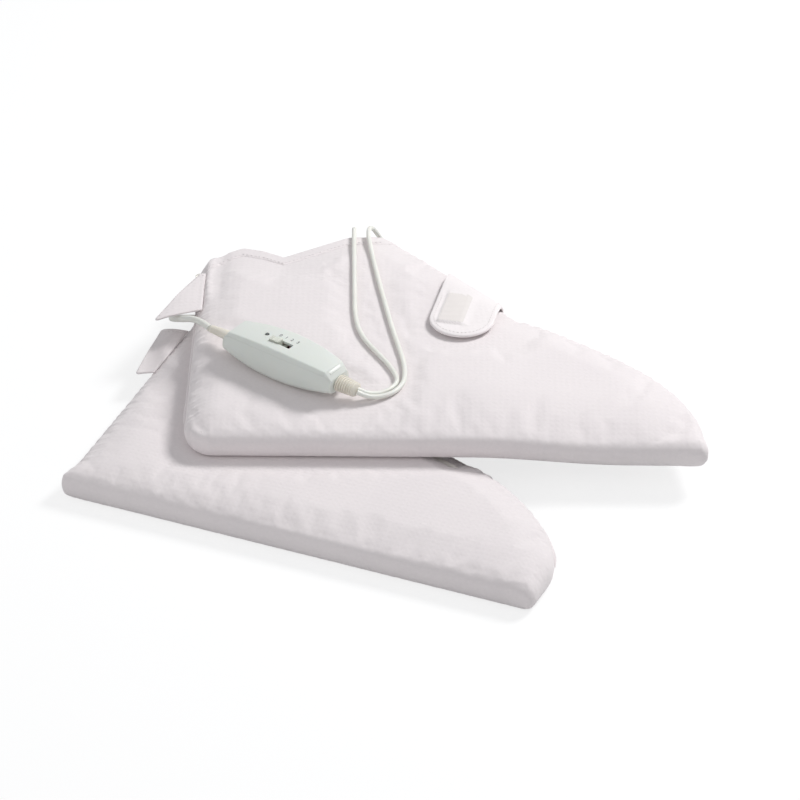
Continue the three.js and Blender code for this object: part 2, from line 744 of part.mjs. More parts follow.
  // Closure flap behind the leg, sewn on just inside its edge, with its hook patch beneath
  const flapHeight = seamHigh + (form.crown - seamHigh) * round(flapBase / shoulder) + gap;
  const [patchWide, patchLong] = flapPatchSize;
  const flapLength = flapShares.top - flapShares.foot;
  const flapOutline = flapShares.points.map(([out, up]) => (
    flat(mix(flapBase, -flapShares.reach, out), flapShares.foot + flapLength * up)));
  add("closure_flap", prism(flapOutline, flapHeight, flapHeight + flapThickness), fabric);
  const under = flapHeight - gap;
  const patchFoot = flapShares.foot + flapLength * flapShares.patch;
  const patchEdge = flapBase - coreAtSole;
  const patchOutline = [flat(patchEdge - patchWide, patchFoot), flat(patchEdge, patchFoot),
    flat(patchEdge, patchFoot + patchLong), flat(patchEdge - patchWide, patchFoot + patchLong)];
  add("flap_hook_patch", prism(patchOutline, under - hookThickness, under), hook);
  return boot;
}

const upper = addBoot("upper_boot", bootForm(upperInstep, upperCrown), true, upperGrommetU, {
  foot: upperFlapFoot, top: upperFlapTop, reach: upperFlapReach, patch: 0.25,
  points: [[0, 0.02], [0, 1], [0.16, 0.96], [0.97, -0.1], [1, -0.16], [0.94, -0.19]],
});
const upperLift = lowerCrown + gap;
upper.position.set(...upperHeel, upperLift);
upper.rotation.z = THREE.MathUtils.degToRad(upperTurn);
group.add(upper);

const lower = addBoot("lower_boot", bootForm(lowerInstep, lowerCrown), false, lowerGrommetU, {
  foot: lowerFlapFoot, top: lowerFlapTop, reach: lowerFlapReach, patch: 0.28,
  points: [[0, 0], [0, 1], [0.94, 0.96], [1, 0.9], [0.62, -0.07], [0.5, -0.1]],
});
lower.position.set(...lowerHeel, 0);
lower.rotation.z = THREE.MathUtils.degToRad(lowerTurn);
group.add(lower);

// Hand controller: x from the mains end to the leads' end, z up from the belly
const controller = new THREE.Group();
controller.position.set(...controllerPlace, upperLift + upperCrown + gap);
controller.rotation.z = THREE.MathUtils.degToRad(controllerTurn);
group.add(controller);
const half = housingLength / 2;
const stationShares = [-1, -0.9, -0.72, -0.5, -0.25, 0, 0.25, 0.5, 0.72, 0.9, 1];
const bellyShares = [[0.42, 0], [0.66, 0.05], [0.87, 0.19], [0.97, 0.42], [1, 0.7]];
const bellyRise = 0.5;

function housingSection(share, inset) {
  const x = share * (half - inset);
  const s = x / half;
  const facet = Math.abs(share) === 1 ? endFacet : 0;
  const top = housingHeight - housingArch * s * s - facet - inset;
  const low = bellyArch * s * s + inset;
  const wide = bellyHalf - bellyTaper * s * s - inset;
  const narrow = housingTopHalf - housingTopTaper * s * s - inset;
  const middle = mix(low, top, bellyRise);
  const side = bellyShares.map(([out, up]) => [wide * out, mix(low, middle, up)]);
  side.push([mix(narrow, wide, 0.5), top - lidDepth + inset]);
  side.push([narrow, top - (lidDepth - inset) * 0.3]);
  side.push([narrow - (lidDepth - inset) * 0.4, top]);
  const right = side.map(([y, z]) => at(x, y, z));
  const left = side.map(([y, z]) => at(x, -y, z)).reverse();
  return [...right, ...left];
}

const archAt = (x) => housingHeight - housingArch * (x / half) ** 2;
function lidZone(open) {
  const reach = half + housingWall;
  return solid(loft(stationShares.map((share) => {
    const low = archAt(share * reach) - lidDepth + open;
    const high = housingHeight + lidDepth;
    return [at(share * reach, bellyHalf, low), at(share * reach, bellyHalf, high),
      at(share * reach, -bellyHalf, high), at(share * reach, -bellyHalf, low)];
  })));
}

const outerHousing = solid(loft(stationShares.map((share) => housingSection(share, 0))));
const innerHousing = solid(loft(stationShares.map((share) => housingSection(share, housingWall))));
const housingShell = outerHousing.subtract(innerHousing);
const neckHole = reliefNeck + gap;
const endHole = (side) => solid(new THREE.CylinderGeometry(neckHole, neckHole, 4 * housingWall, 16)
  .rotateZ(Math.PI / 2).translate(side * (half - housingWall / 2), 0, cordHeight));

// Screw posts and bosses, board ribs, slot and light hole
const bellyAt = (x) => bellyArch * (x / half) ** 2;
let tub = housingShell.subtract(lidZone(-gap / 2));
let lid = housingShell.intersect(lidZone(gap / 2));
for (const side of [-1, 1]) {
  const x = side * postPlace;
  const post = bar(postRadius, bellyAt(x) + housingWall / 2, screwMeet, x, 0, 16);
  const boss = bar(postRadius, screwMeet + gap, archAt(x) - housingWall / 2, x, 0, 16);
  tub = tub.add(post.intersect(outerHousing));
  lid = lid.add(boss.intersect(outerHousing));
  const headSeat = bellyAt(x) + screwSink + screwHeadHeight;
  tub = tub.subtract(bar(screwHead + screwClearance, -housingWall, headSeat, x, 0, 16));
  tub = tub.subtract(bar(screwShank + screwClearance, -housingWall, housingHeight, x, 0, 12));
  lid = lid.subtract(bar(screwShank + screwClearance, 0, archAt(x) - 2 * housingWall, x, 0, 12));
  const ribSide = boardRib / 2;
  const ribX = side * ribPlace;
  const rib = block([ribX - ribSide, -bellyHalf, 0], [ribX + ribSide, bellyHalf, boardHeight - gap]);
  tub = tub.add(rib.intersect(outerHousing));
  tub = tub.subtract(endHole(side));
  const headTop = headSeat - gap;
  const headLow = headTop - screwHeadHeight;
  const tip = archAt(x) - 2 * housingWall - gap;
  const shank = [[0, headLow], [screwHead, headLow], [screwHead, headTop], [screwShank, headTop],
    [screwShank, tip], [0, tip]].map(([r, z]) => flat(r, z));
  const screw = new THREE.LatheGeometry(shank, 12).rotateX(Math.PI / 2).translate(x, 0, 0);
  addPart(controller, side < 0 ? "housing_screw_1" : "housing_screw_2", screw, steel);
}
const [knobX, knobY] = knobPlace;
const [knobLong, knobWide] = knobSize;
const slotHalf = (knobLong + knobTravel) / 2 + gap;
const slotWide = knobWide / 2 + gap;
const aboveLid = 2 * housingHeight;
const slotCorner = [knobX + slotHalf, knobY + slotWide, aboveLid];
lid = lid.subtract(block([knobX - slotHalf, knobY - slotWide, 0], slotCorner));
lid = lid.subtract(bar(lightRadius + gap, 0, aboveLid, ...lightPlace, 12));
addPart(controller, "upper_housing", lid, shell);
addPart(controller, "lower_housing", tub, shell);

// Board, switch, knob and light. The switch fills the room between the board and the knob's stem.
const centred = (x, y, long, wide, low, high) => (
  block([x - long / 2, y - wide / 2, low], [x + long / 2, y + wide / 2, high]));
const [boardLong, boardWide, boardThick] = boardSize;
const boardPlate = centred(0, 0, boardLong, boardWide, boardHeight, boardHeight + boardThick);
addPart(controller, "circuit_board", boardPlate, board);
const boardTop = boardHeight + boardThick + gap;
const [plateLong, plateWide] = knobPlateSize;
const plateTop = archAt(knobX + slotHalf + plateLong / 2) - housingWall - gap;
const plateLow = plateTop - knobPlateThickness;
const knobFoot = plateLow - knobStem;
const [switchLong, switchWide] = switchSize;
const switchCase = centred(knobX, knobY, switchLong, switchWide, boardTop, knobFoot - gap);
addPart(controller, "switch_block", switchCase, dark);
const restX = knobX - knobTravel / 2;
const knobTop = housingHeight + knobRise;
let knob = centred(restX, knobY, knobLong, knobWide, knobFoot, knobTop);
knob = knob.add(centred(restX, knobY, plateLong, plateWide, plateLow, plateTop));
for (const k of [-1, 0, 1]) {
  const x = restX + (k * knobLong) / 4;
  knob = knob.subtract(centred(x, knobY, 2 * knobRidge, 2 * knobWide, knobTop - knobRidge, aboveLid));
}
addPart(controller, "slide_knob", knob, vinyl);
const lightTop = archAt(lightPlace[0]) + lightRise;
addPart(controller, "light_pipe", bar(lightRadius, boardTop, lightTop, ...lightPlace, 12), lens);

// A strain relief through the end wall, held by a flange inside and swept along a bent path
function relief(side, end, widths) {
  const start = at(side * (half + gap), 0, cordHeight);
  const inner = at(side * (half - housingWall - gap), 0, cordHeight);
  const pull = at(mix(start.x, end.x, 0.5), 0, cordHeight);
  const path = new THREE.QuadraticBezierCurve3(start, pull, end);
  const back = at(side, 0, 0);
  const sections = [];
  const flange = inner.clone().addScaledVector(back, -reliefFlangeThickness);
  sections.push(sectionAt(flange, back, reliefFlange, reliefFlange, 12));
  sections.push(sectionAt(inner, back, reliefFlange, reliefFlange, 12));
  sections.push(sectionAt(inner, back, reliefNeck, reliefNeck, 12));
  sections.push(sectionAt(start, back, reliefNeck, reliefNeck, 12));
  for (const [share, wide, high] of widths) {
    sections.push(sectionAt(path.getPoint(share), path.getTangent(share), wide, high, 12));
  }
  return loft(sections);
}

// Seven ribs, each a valley, a rise, a crest and a fall
const leadExit = at(...leadReliefTip);
const ribs = [[0, ribRoot, ribRoot]];
for (let k = 0; k < ribCount; k += 1) {
  const crest = mix(ribRadius, ribEndRadius, k / (ribCount - 1));
  for (const [step, radius] of [[0.12, crest], [0.62, crest], [0.7, ribRoot], [0.98, ribRoot]]) {
    ribs.push([(k + step) / ribCount, radius, radius]);
  }
}
addPart(controller, "ribbed_strain_relief", relief(1, leadExit, ribs), vinyl);

// Smooth taper, wide and flat at the housing and round at the cord
const mainsExit = at(...mainsReliefTip);
const taper = [0, 0.25, 0.5, 0.75, 1].map((share) => [
  share, mix(mainsReliefWide, mainsReliefEnd, share), mix(mainsReliefHigh, mainsReliefEnd, share)]);
addPart(controller, "mains_strain_relief", relief(-1, mainsExit, taper), vinyl);

// A plain cord along its route
function cordTube(points, diameter, steps) {
  const path = new THREE.CatmullRomCurve3(points.map((p) => at(...p)), false, "centripetal");
  const sides = diameter > leadDiameter ? 10 : 8;
  const section = new THREE.Shape();
  section.absarc(0, 0, diameter / 2, 0, 2 * Math.PI);
  const outline = new THREE.Shape(section.getSpacedPoints(sides).slice(0, -1));
  return new THREE.ExtrudeGeometry(outline, { extrudePath: path, steps, bevelEnabled: false });
}

// The leads' routes, from the ribbed relief over the boot and over its mouth to the two hems
const upperLeadRoute = [
  [-17.4, -26, 58.2], [-13.1, -26.3, 56.1], [-8, -25.9, 54.2], [-1.5, -23.6, 53.1], [6.2, -17.7, 52.9],
  [10.6, -9.5, 52.9],
  [9.8, -0.5, 52.9], [6.2, 10, 52.9], [0.5, 21.5, 52.9], [-6, 33.5, 52.9], [-12.5, 46.5, 52.9],
  [-17.5, 62.5, 52.9], [-20, 82, 52.9], [-20.8, 105, 52.9], [-21.2, 130, 52.9], [-21.6, 155, 52.6],
  [-22, 178, 50.8], [-22.2, 196, 48.8], [-22.3, 206, 48], [-22.4, 214, 46], [-22.5, 219.6, 41.4],
  [-22.5, 220.6, 35.4], [-22.3, 216.6, 30.2], [-21.8, 211, 28.5], [-20.9, 206.2, 28.4],
];
const lowerLeadRoute = [
  [-17.6, -30, 58.2], [-13.3, -30.3, 56.1], [-8, -30, 54.2], [-0.5, -27.9, 53.1], [8.6, -21.8, 52.9],
  [14.8, -11, 52.9],
  [16.4, 2, 52.9], [15.4, 17, 52.9], [11.8, 38, 52.9], [6.8, 65, 52.9], [1.4, 99, 52.9],
  [-3.6, 132, 52.9], [-7.4, 160, 52.6], [-9.8, 182, 51], [-11, 198, 49.4], [-11, 208, 48.3],
  [-9.8, 217, 45.4], [-7.4, 224.6, 39.6], [-3.5, 229.8, 30.5], [3, 229.8, 20], [9.5, 223, 10],
  [14.5, 211, 4],
  [16.6, 196, 2.2], [15.6, 178, 2.1], [11.6, 163, 2.3], [6, 151, 3], [1.6, 142.4, 3.9],
  [-0.5, 136, 4.1], [-1.4, 130.1, 4.1],
];
const leadsGroup = new THREE.Group();
group.add(leadsGroup);
addPart(leadsGroup, "upper_boot_lead", cordTube(upperLeadRoute, leadDiameter, 48), vinyl);
addPart(leadsGroup, "lower_boot_lead", cordTube(lowerLeadRoute, leadDiameter, 64), vinyl);

// Mains cord: over the back edge, down behind the lower boot's leg and into the coil
const cordLevel = 2.6;
const mainsRoute = [
  [-125.9, 54.4, 57.6], [-131, 64.4, 55.2], [-136.8, 74.6, 51.8], [-142.6, 83.8, 47.2],
  [-148.2, 92.2, 41.8], [-153, 100.6, 36.6], [-156.8, 109.6, 31], [-158.8, 119.6, 25],
  [-158.6, 130, 18.6], [-155.8, 140, 12], [-149.4, 148.8, 6.4], [-139, 154.2, 3], [-123, 155.4, 2.6],
  [-104, 153.6, 2.6], [-86, 149.6, 2.6], [-68, 146.4, 2.6], [-56, 145.6, 2.6], [-47.3, 145.5, 2.6],
];
addPart(leadsGroup, "mains_cord", cordTube(mainsRoute, mainsDiameter, 34), vinyl);

// The coil: a layer wound inwards, half a turn that climbs, and a layer wound outwards
const coilInner = coilOuter - coilPitch * coilTurns;
function coilAt(turns) {
  const climb = 0.5;
  let radius = coilInner;
  let height = cordLevel;
  if (turns <= coilTurns) {
    radius = coilOuter - coilPitch * turns;
  } else if (turns < coilTurns + climb) {
    const share = (turns - coilTurns) / climb;
    radius = coilInner - climbTuck * Math.sin(Math.PI * share);
    height = cordLevel + layerPitch * smooth(share);
  } else {
    radius = coilInner + coilPitch * (turns - coilTurns - climb);
    height = cordLevel + layerPitch;
  }
  const turn = 2 * Math.PI * turns - Math.PI / 2;
  return at(coilPlace[0] + radius * Math.cos(turn), coilPlace[1] + radius * Math.sin(turn), height);
}
const coilTotal = 2 * coilTurns + 0.5;
const coilSteps = Math.round(coilTotal * 24);
const coilPath = [];
for (let k = 0; k <= coilSteps; k += 1) coilPath.push(coilAt((coilTotal * k) / coilSteps));
const ended = (a, b) => a.clone().addScaledVector(a.clone().sub(b).normalize(), mainsDiameter);
const coilStart = at(coilPath[0].x - mainsDiameter, coilPath[0].y, cordLevel);
coilPath.unshift(coilStart);
coilPath.push(ended(coilPath[coilPath.length - 1], coilPath[coilPath.length - 2]));
const coilSections = coilPath.map((p, i) => {
  const run = coilPath[Math.min(i + 1, coilPath.length - 1)].clone().sub(coilPath[Math.max(i - 1, 0)]);
  return sectionAt(p, run.normalize(), mainsDiameter / 2, mainsDiameter / 2, 6);
});
addPart(leadsGroup, "mains_coil", loft(coilSections), vinyl);

// The least gap between the coil's turns, and the coil's length, measured on its points
let leastGap = Infinity;
let coilLength = 0;
coilPath.forEach((p, i) => {
  if (i) coilLength += p.distanceTo(coilPath[i - 1]);
  for (let j = i + 12; j < coilPath.length; j += 1) {
    leastGap = Math.min(leastGap, p.distanceTo(coilPath[j]) - mainsDiameter);
  }
});
console.log(`coil: least gap ${leastGap.toFixed(2)} mm, length ${coilLength.toFixed(0)} mm`);

// From the coil to the plug
const coilEnd = coilPath[coilPath.length - 1];
const plugHeading = at(1, 0, 0).applyAxisAngle(at(0, 0, 1), THREE.MathUtils.degToRad(plugTurn));
const plugBack = at(...plugPlace, plugHeight / 2 + gap);
const tailRun = coilEnd.clone().sub(coilPath[coilPath.length - 2]).normalize();
const tailRoute = [
  coilEnd.clone().addScaledVector(tailRun, gap),
  coilEnd.clone().addScaledVector(tailRun, mainsDiameter),
  plugBack.clone().addScaledVector(plugHeading, -mainsDiameter),
  plugBack.clone().addScaledVector(plugHeading, -gap),
].map((p) => p.toArray());
addPart(leadsGroup, "mains_tail", cordTube(tailRoute, mainsDiameter, 8), vinyl);

// Flat two-pin plug
const plug = new THREE.Group();
plug.position.copy(plugBack);
plug.rotation.z = THREE.MathUtils.degToRad(plugTurn);
group.add(plug);
const plugShares = [[0, 0.16, 0.36], [0.3, 0.22, 0.46], [0.42, 0.5, 0.8], [0.52, 0.72, 0.94],
  [0.7, 0.78, 1], [0.94, 1, 1], [1, 0.96, 0.94]];
const plugSections = plugShares.map(([along, wide, high]) => {
  const section = [];
  for (let i = 0; i < 12; i += 1) {
    const turn = (2 * Math.PI * (i + 1 / 2)) / 12;
    const bulge = (x) => Math.sign(x) * Math.abs(x) ** 0.6;
    const out = (bulge(Math.cos(turn)) * wide * plugWidth) / 2;
    const up = (bulge(Math.sin(turn)) * high * plugHeight) / 2;
    section.push(at(along * plugLength, out, up));
  }
  return section;
});
addPart(plug, "plug_body", loft(plugSections), vinyl);
for (const side of [-1, 1]) {
  const profile = [[0, 0], [pinRadius, 0], [pinRadius, pinLength - pinRadius],
    [pinRadius / 2, pinLength], [0, pinLength]];
  const pin = new THREE.LatheGeometry(profile.map(([r, y]) => flat(r, y)), 12).rotateZ(-Math.PI / 2);
  pin.translate(plugLength + gap, (side * pinSpacing) / 2, 0);
  addPart(plug, side < 0 ? "plug_pin_1" : "plug_pin_2", pin, steel);
}

export default group;
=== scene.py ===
import math

import bmesh
import bpy
import numpy as np
from mathutils import Matrix, Vector
from mathutils.bvhtree import BVHTree
from mathutils.geometry import delaunay_2d_cdt


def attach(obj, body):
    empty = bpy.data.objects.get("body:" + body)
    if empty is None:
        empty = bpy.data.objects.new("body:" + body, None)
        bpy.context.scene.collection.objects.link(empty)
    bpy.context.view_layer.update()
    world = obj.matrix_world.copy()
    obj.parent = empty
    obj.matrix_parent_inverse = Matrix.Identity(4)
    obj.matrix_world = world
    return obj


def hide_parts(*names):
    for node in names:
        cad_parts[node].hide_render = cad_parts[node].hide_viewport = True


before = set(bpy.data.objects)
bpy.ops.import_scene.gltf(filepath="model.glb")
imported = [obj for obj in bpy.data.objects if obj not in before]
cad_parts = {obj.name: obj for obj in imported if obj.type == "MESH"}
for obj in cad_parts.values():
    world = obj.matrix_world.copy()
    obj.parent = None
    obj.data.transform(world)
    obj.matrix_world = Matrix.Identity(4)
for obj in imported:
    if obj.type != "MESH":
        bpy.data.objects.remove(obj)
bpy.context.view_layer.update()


# The camera stands in front of the pair, about 34 degrees above the table, as the photograph was
# taken, with a long lens that keeps the two soles nearly parallel.
def mm(*values):
    return Vector([value / 1000 for value in values])


camera_place = mm(13.0, -2026.4, 1398.0)
camera_target = mm(13.0, 46.2, 0)
camera_data = bpy.data.cameras.new("photograph_view")
camera_data.lens = 152.16
camera_data.sensor_width = 36
camera_data.clip_end = 30
camera = bpy.data.objects.new("photograph_view", camera_data)
camera.location = camera_place
camera.rotation_euler = (camera_target - camera_place).to_track_quat("-Z", "Y").to_euler()
bpy.context.scene.collection.objects.link(camera)
bpy.context.scene.camera = camera


# Two leads run from the controller's ribbed sleeve to the boots' mouths. They are PVC insulated
# twin flex 3.6 mm thick, extruded in one pass, so soft that they lie flat where they are put.
def linear(text):
    parts = [int(text[i:i + 2], 16) / 255 for i in (1, 3, 5)]
    return tuple([c / 12.92 if c <= 0.04045 else ((c + 0.055) / 1.055) ** 2.4 for c in parts] + [1.0])


def add_node(tree, kind, sockets=None, **settings):
    node = tree.nodes.new(kind)
    for name, value in settings.items():
        setattr(node, name, value)
    for name, value in (sockets or {}).items():
        socket = node.inputs[name]
        if isinstance(value, bpy.types.NodeSocket):
            tree.links.new(value, socket)
        else:
            socket.default_value = value
    return node


def new_material(name, **inputs):
    material = bpy.data.materials.new(name)
    material.use_nodes = True
    tree = material.node_tree
    shader = tree.nodes["Principled BSDF"]
    for key, value in inputs.items():
        shader.inputs[key.replace("_", " ")].default_value = value
    return material, tree, shader


def clouded(tree, shader, where, size, detail, colours):
    cloud = add_node(tree, "ShaderNodeTexNoise", {"Vector": where, "Scale": 1000 / size, "Detail": detail})
    tint = add_node(tree, "ShaderNodeMix", {0: cloud.outputs["Fac"]}, data_type="RGBA")
    tint.inputs[6].default_value, tint.inputs[7].default_value = linear(colours[0]), linear(colours[1])
    tree.links.new(tint.outputs[2], shader.inputs["Base Color"])
    return cloud.outputs["Fac"]


def uneven(tree, shader, height, strength, depth):
    bump = add_node(tree, "ShaderNodeBump",
                    {"Height": height, "Strength": strength, "Distance": depth / 1000})
    tree.links.new(bump.outputs[0], shader.inputs["Normal"])


# Plasticised PVC, extruded: a satin skin with the faint lengthways unevenness of the die, and a
# slightly warm white. IOR of PVC is about 1.53.
def pvc_material(name, colours, rough):
    material, tree, shader = new_material(name, IOR=1.53, Subsurface_Weight=0.06)
    shader.inputs["Subsurface Radius"].default_value = (0.004, 0.003, 0.002)
    where = add_node(tree, "ShaderNodeTexCoord").outputs["Object"]
    cloud = clouded(tree, shader, where, 14, 4, colours)
    spread = add_node(tree, "ShaderNodeMapRange", {"Value": cloud, 3: rough - 0.05, 4: rough + 0.06})
    tree.links.new(spread.outputs[0], shader.inputs["Roughness"])
    grain = add_node(tree, "ShaderNodeTexNoise", {"Vector": where, "Scale": 1000 / 0.9, "Detail": 2})
    uneven(tree, shader, grain.outputs["Fac"], 0.12, 0.2)
    return material


flex_pvc = pvc_material("extruded_pvc_flex", ("#E3E3DB", "#ECECE6"), 0.42)


def smooth_line(points, step):
    line = [Vector(p) for p in points]
    ends = [2 * line[0] - line[1], *line, 2 * line[-1] - line[-2]]
    found = []
    for a, b, c, d in zip(ends, ends[1:], ends[2:], ends[3:]):
        t = [0.0]
        for p, q in ((a, b), (b, c), (c, d)):
            t.append(t[-1] + max((q - p).length, 1e-6) ** 0.5)
        count = max(1, round((c - b).length / step))
        for i in range(count):
            x = t[1] + (t[2] - t[1]) * i / count
            def along(p, q, s, e):
                return p * ((e - x) / (e - s)) + q * ((x - s) / (e - s))
            p1, p2, p3 = along(a, b, t[0], t[1]), along(b, c, t[1], t[2]), along(c, d, t[2], t[3])
            found.append(along(along(p1, p2, t[0], t[2]), along(p2, p3, t[1], t[3]), t[1], t[2]))
    return [*found, line[-1]]


def tube(name, points, diameter, material):
    data = bpy.data.curves.new(name, "CURVE")
    data.dimensions = "3D"
    data.bevel_depth = diameter / 2000
    data.bevel_resolution = 5
    data.use_fill_caps = True
    spline = data.splines.new("POLY")
    spline.points.add(len(points) - 1)
    for point, place in zip(spline.points, points):
        point.co = (*[c / 1000 for c in place], 1)
    data.materials.append(material)
    made = bpy.data.objects.new(name, data)
    bpy.context.scene.collection.objects.link(made)
    return made


def length_of(points):
    return sum((b - a).length for a, b in zip(points, points[1:])) / 1000


upper_lead_route = [
    (-17.4, -26, 58.2), (-13.1, -26.3, 56.1), (-8, -25.9, 54.2), (-1.5, -23.6, 53.1), (6.2, -17.7, 52.9),
    (10.6, -9.5, 52.9), (9.8, -0.5, 52.9), (6.2, 10, 52.9), (0.5, 21.5, 52.9), (-6, 33.5, 52.9),
    (-12.5, 46.5, 52.9), (-17.5, 62.5, 52.9), (-20, 82, 52.9), (-20.8, 105, 52.9), (-21.2, 130, 52.9),
    (-21.6, 155, 52.6), (-22, 178, 50.8), (-22.2, 196, 48.8), (-22.3, 206, 48), (-22.4, 214, 46),
    (-22.5, 219.6, 41.4), (-22.5, 220.6, 35.4), (-22.3, 216.6, 30.2), (-21.8, 211, 28.5),
    (-20.9, 206.2, 28.4)]
lower_lead_route = [
    (-17.6, -30, 58.2), (-13.3, -30.3, 56.1), (-8, -30, 54.2), (-0.5, -27.9, 53.1), (8.6, -21.8, 52.9),
    (14.8, -11, 52.9), (16.4, 2, 52.9), (15.4, 17, 52.9), (11.8, 38, 52.9), (6.8, 65, 52.9),
    (1.4, 99, 52.9), (-3.6, 132, 52.9), (-7.4, 160, 52.6), (-9.8, 182, 51), (-11, 198, 49.4),
    (-11, 208, 48.3), (-9.8, 217, 45.4), (-7.4, 224.6, 39.6), (-3.5, 229.8, 30.5), (3, 229.8, 20),
    (9.5, 223, 10), (14.5, 211, 4), (16.6, 196, 2.2), (15.6, 178, 2.1), (11.6, 163, 2.3), (6, 151, 3),
    (1.6, 142.4, 3.9), (-0.5, 136, 4.1), (-1.4, 130.1, 4.1)]
for name, route in (("upper_boot_flex", upper_lead_route), ("lower_boot_flex", lower_lead_route)):
    line = smooth_line(route, 2.0)
    lead = tube(name, line, 3.6, flex_pvc)
    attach(lead, "boots_and_controller")
    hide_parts(name.replace("flex", "lead"))


# The mains cord is a round two-core PVC flex 5 mm thick and 1.8 m long. What the photograph doesn't
# show of it is wound in two layers behind the upper boot's leg, and ends in the plug.
mains_route = [
    (-125.9, 54.4, 57.6), (-131, 64.4, 55.2), (-136.8, 74.6, 51.8), (-142.6, 83.8, 47.2),
    (-148.2, 92.2, 41.8), (-153, 100.6, 36.6), (-156.8, 109.6, 31), (-158.8, 119.6, 25),
    (-158.6, 130, 18.6), (-155.8, 140, 12), (-149.4, 148.8, 6.4), (-139, 154.2, 3), (-123, 155.4, 2.6),
    (-104, 153.6, 2.6), (-86, 149.6, 2.6), (-68, 146.4, 2.6), (-56, 145.6, 2.6)]
coil_middle = (-42, 188.45)
coil_outer = 42.95
coil_pitch = 5.6
coil_turns = 3.5417
coil_inner = coil_outer - coil_pitch * coil_turns
plug_place = Vector((-90, 212.2, 7.2))
plug_turn = math.radians(195)
plug_heading = Vector((math.cos(plug_turn), math.sin(plug_turn), 0))


def coil_point(turns):
    if turns <= coil_turns:
        radius, height = coil_outer - coil_pitch * turns, 2.6
    elif turns < coil_turns + 0.5:
        share = (turns - coil_turns) / 0.5
        radius = coil_inner - 1.6 * math.sin(math.pi * share)
        height = 2.6 + 5.6 * share * share * (3 - 2 * share)
    else:
        radius, height = coil_inner + coil_pitch * (turns - coil_turns - 0.5), 8.2
    turn = 2 * math.pi * turns - math.pi / 2
    return Vector((coil_middle[0] + radius * math.cos(turn), coil_middle[1] + radius * math.sin(turn),
                   height))


coil_total = 2 * coil_turns + 0.5
coil_steps = round(coil_total * 40)
coil_line = [coil_point(coil_total * k / coil_steps) for k in range(coil_steps + 1)]
tail_run = (coil_line[-1] - coil_line[-2]).normalized()
tail_route = [coil_line[-1], coil_line[-1] + tail_run * 5.3, coil_line[-1] + tail_run * 10,
              plug_place - plug_heading * 5, plug_place + plug_heading * 3]
mains_line = smooth_line([*mains_route, coil_line[0]], 2.5)[:-1]
mains_line += coil_line[:-1] + smooth_line(tail_route, 2.5)
mains_flex = tube("mains_flex", mains_line, 5, flex_pvc)
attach(mains_flex, "boots_and_controller")
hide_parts("mains_cord", "mains_coil", "mains_tail")
print("mains cord", round(length_of(mains_line), 3), "m")


# Each boot's cover is a bag of brushed polyester, cut as two boot-shaped panels with a strip along
# the sole and round the toe, turned right side out and filled with wadding like a flat pillow. The
# sole's edge is a full soft wall. Up the leg the panels meet in a thin sewn edge.
def ease(x):
    x = min(max(x, 0.0), 1.0)
    return x * x * (3 - 2 * x)


def mix(a, b, share):
    return a + (b - a) * share


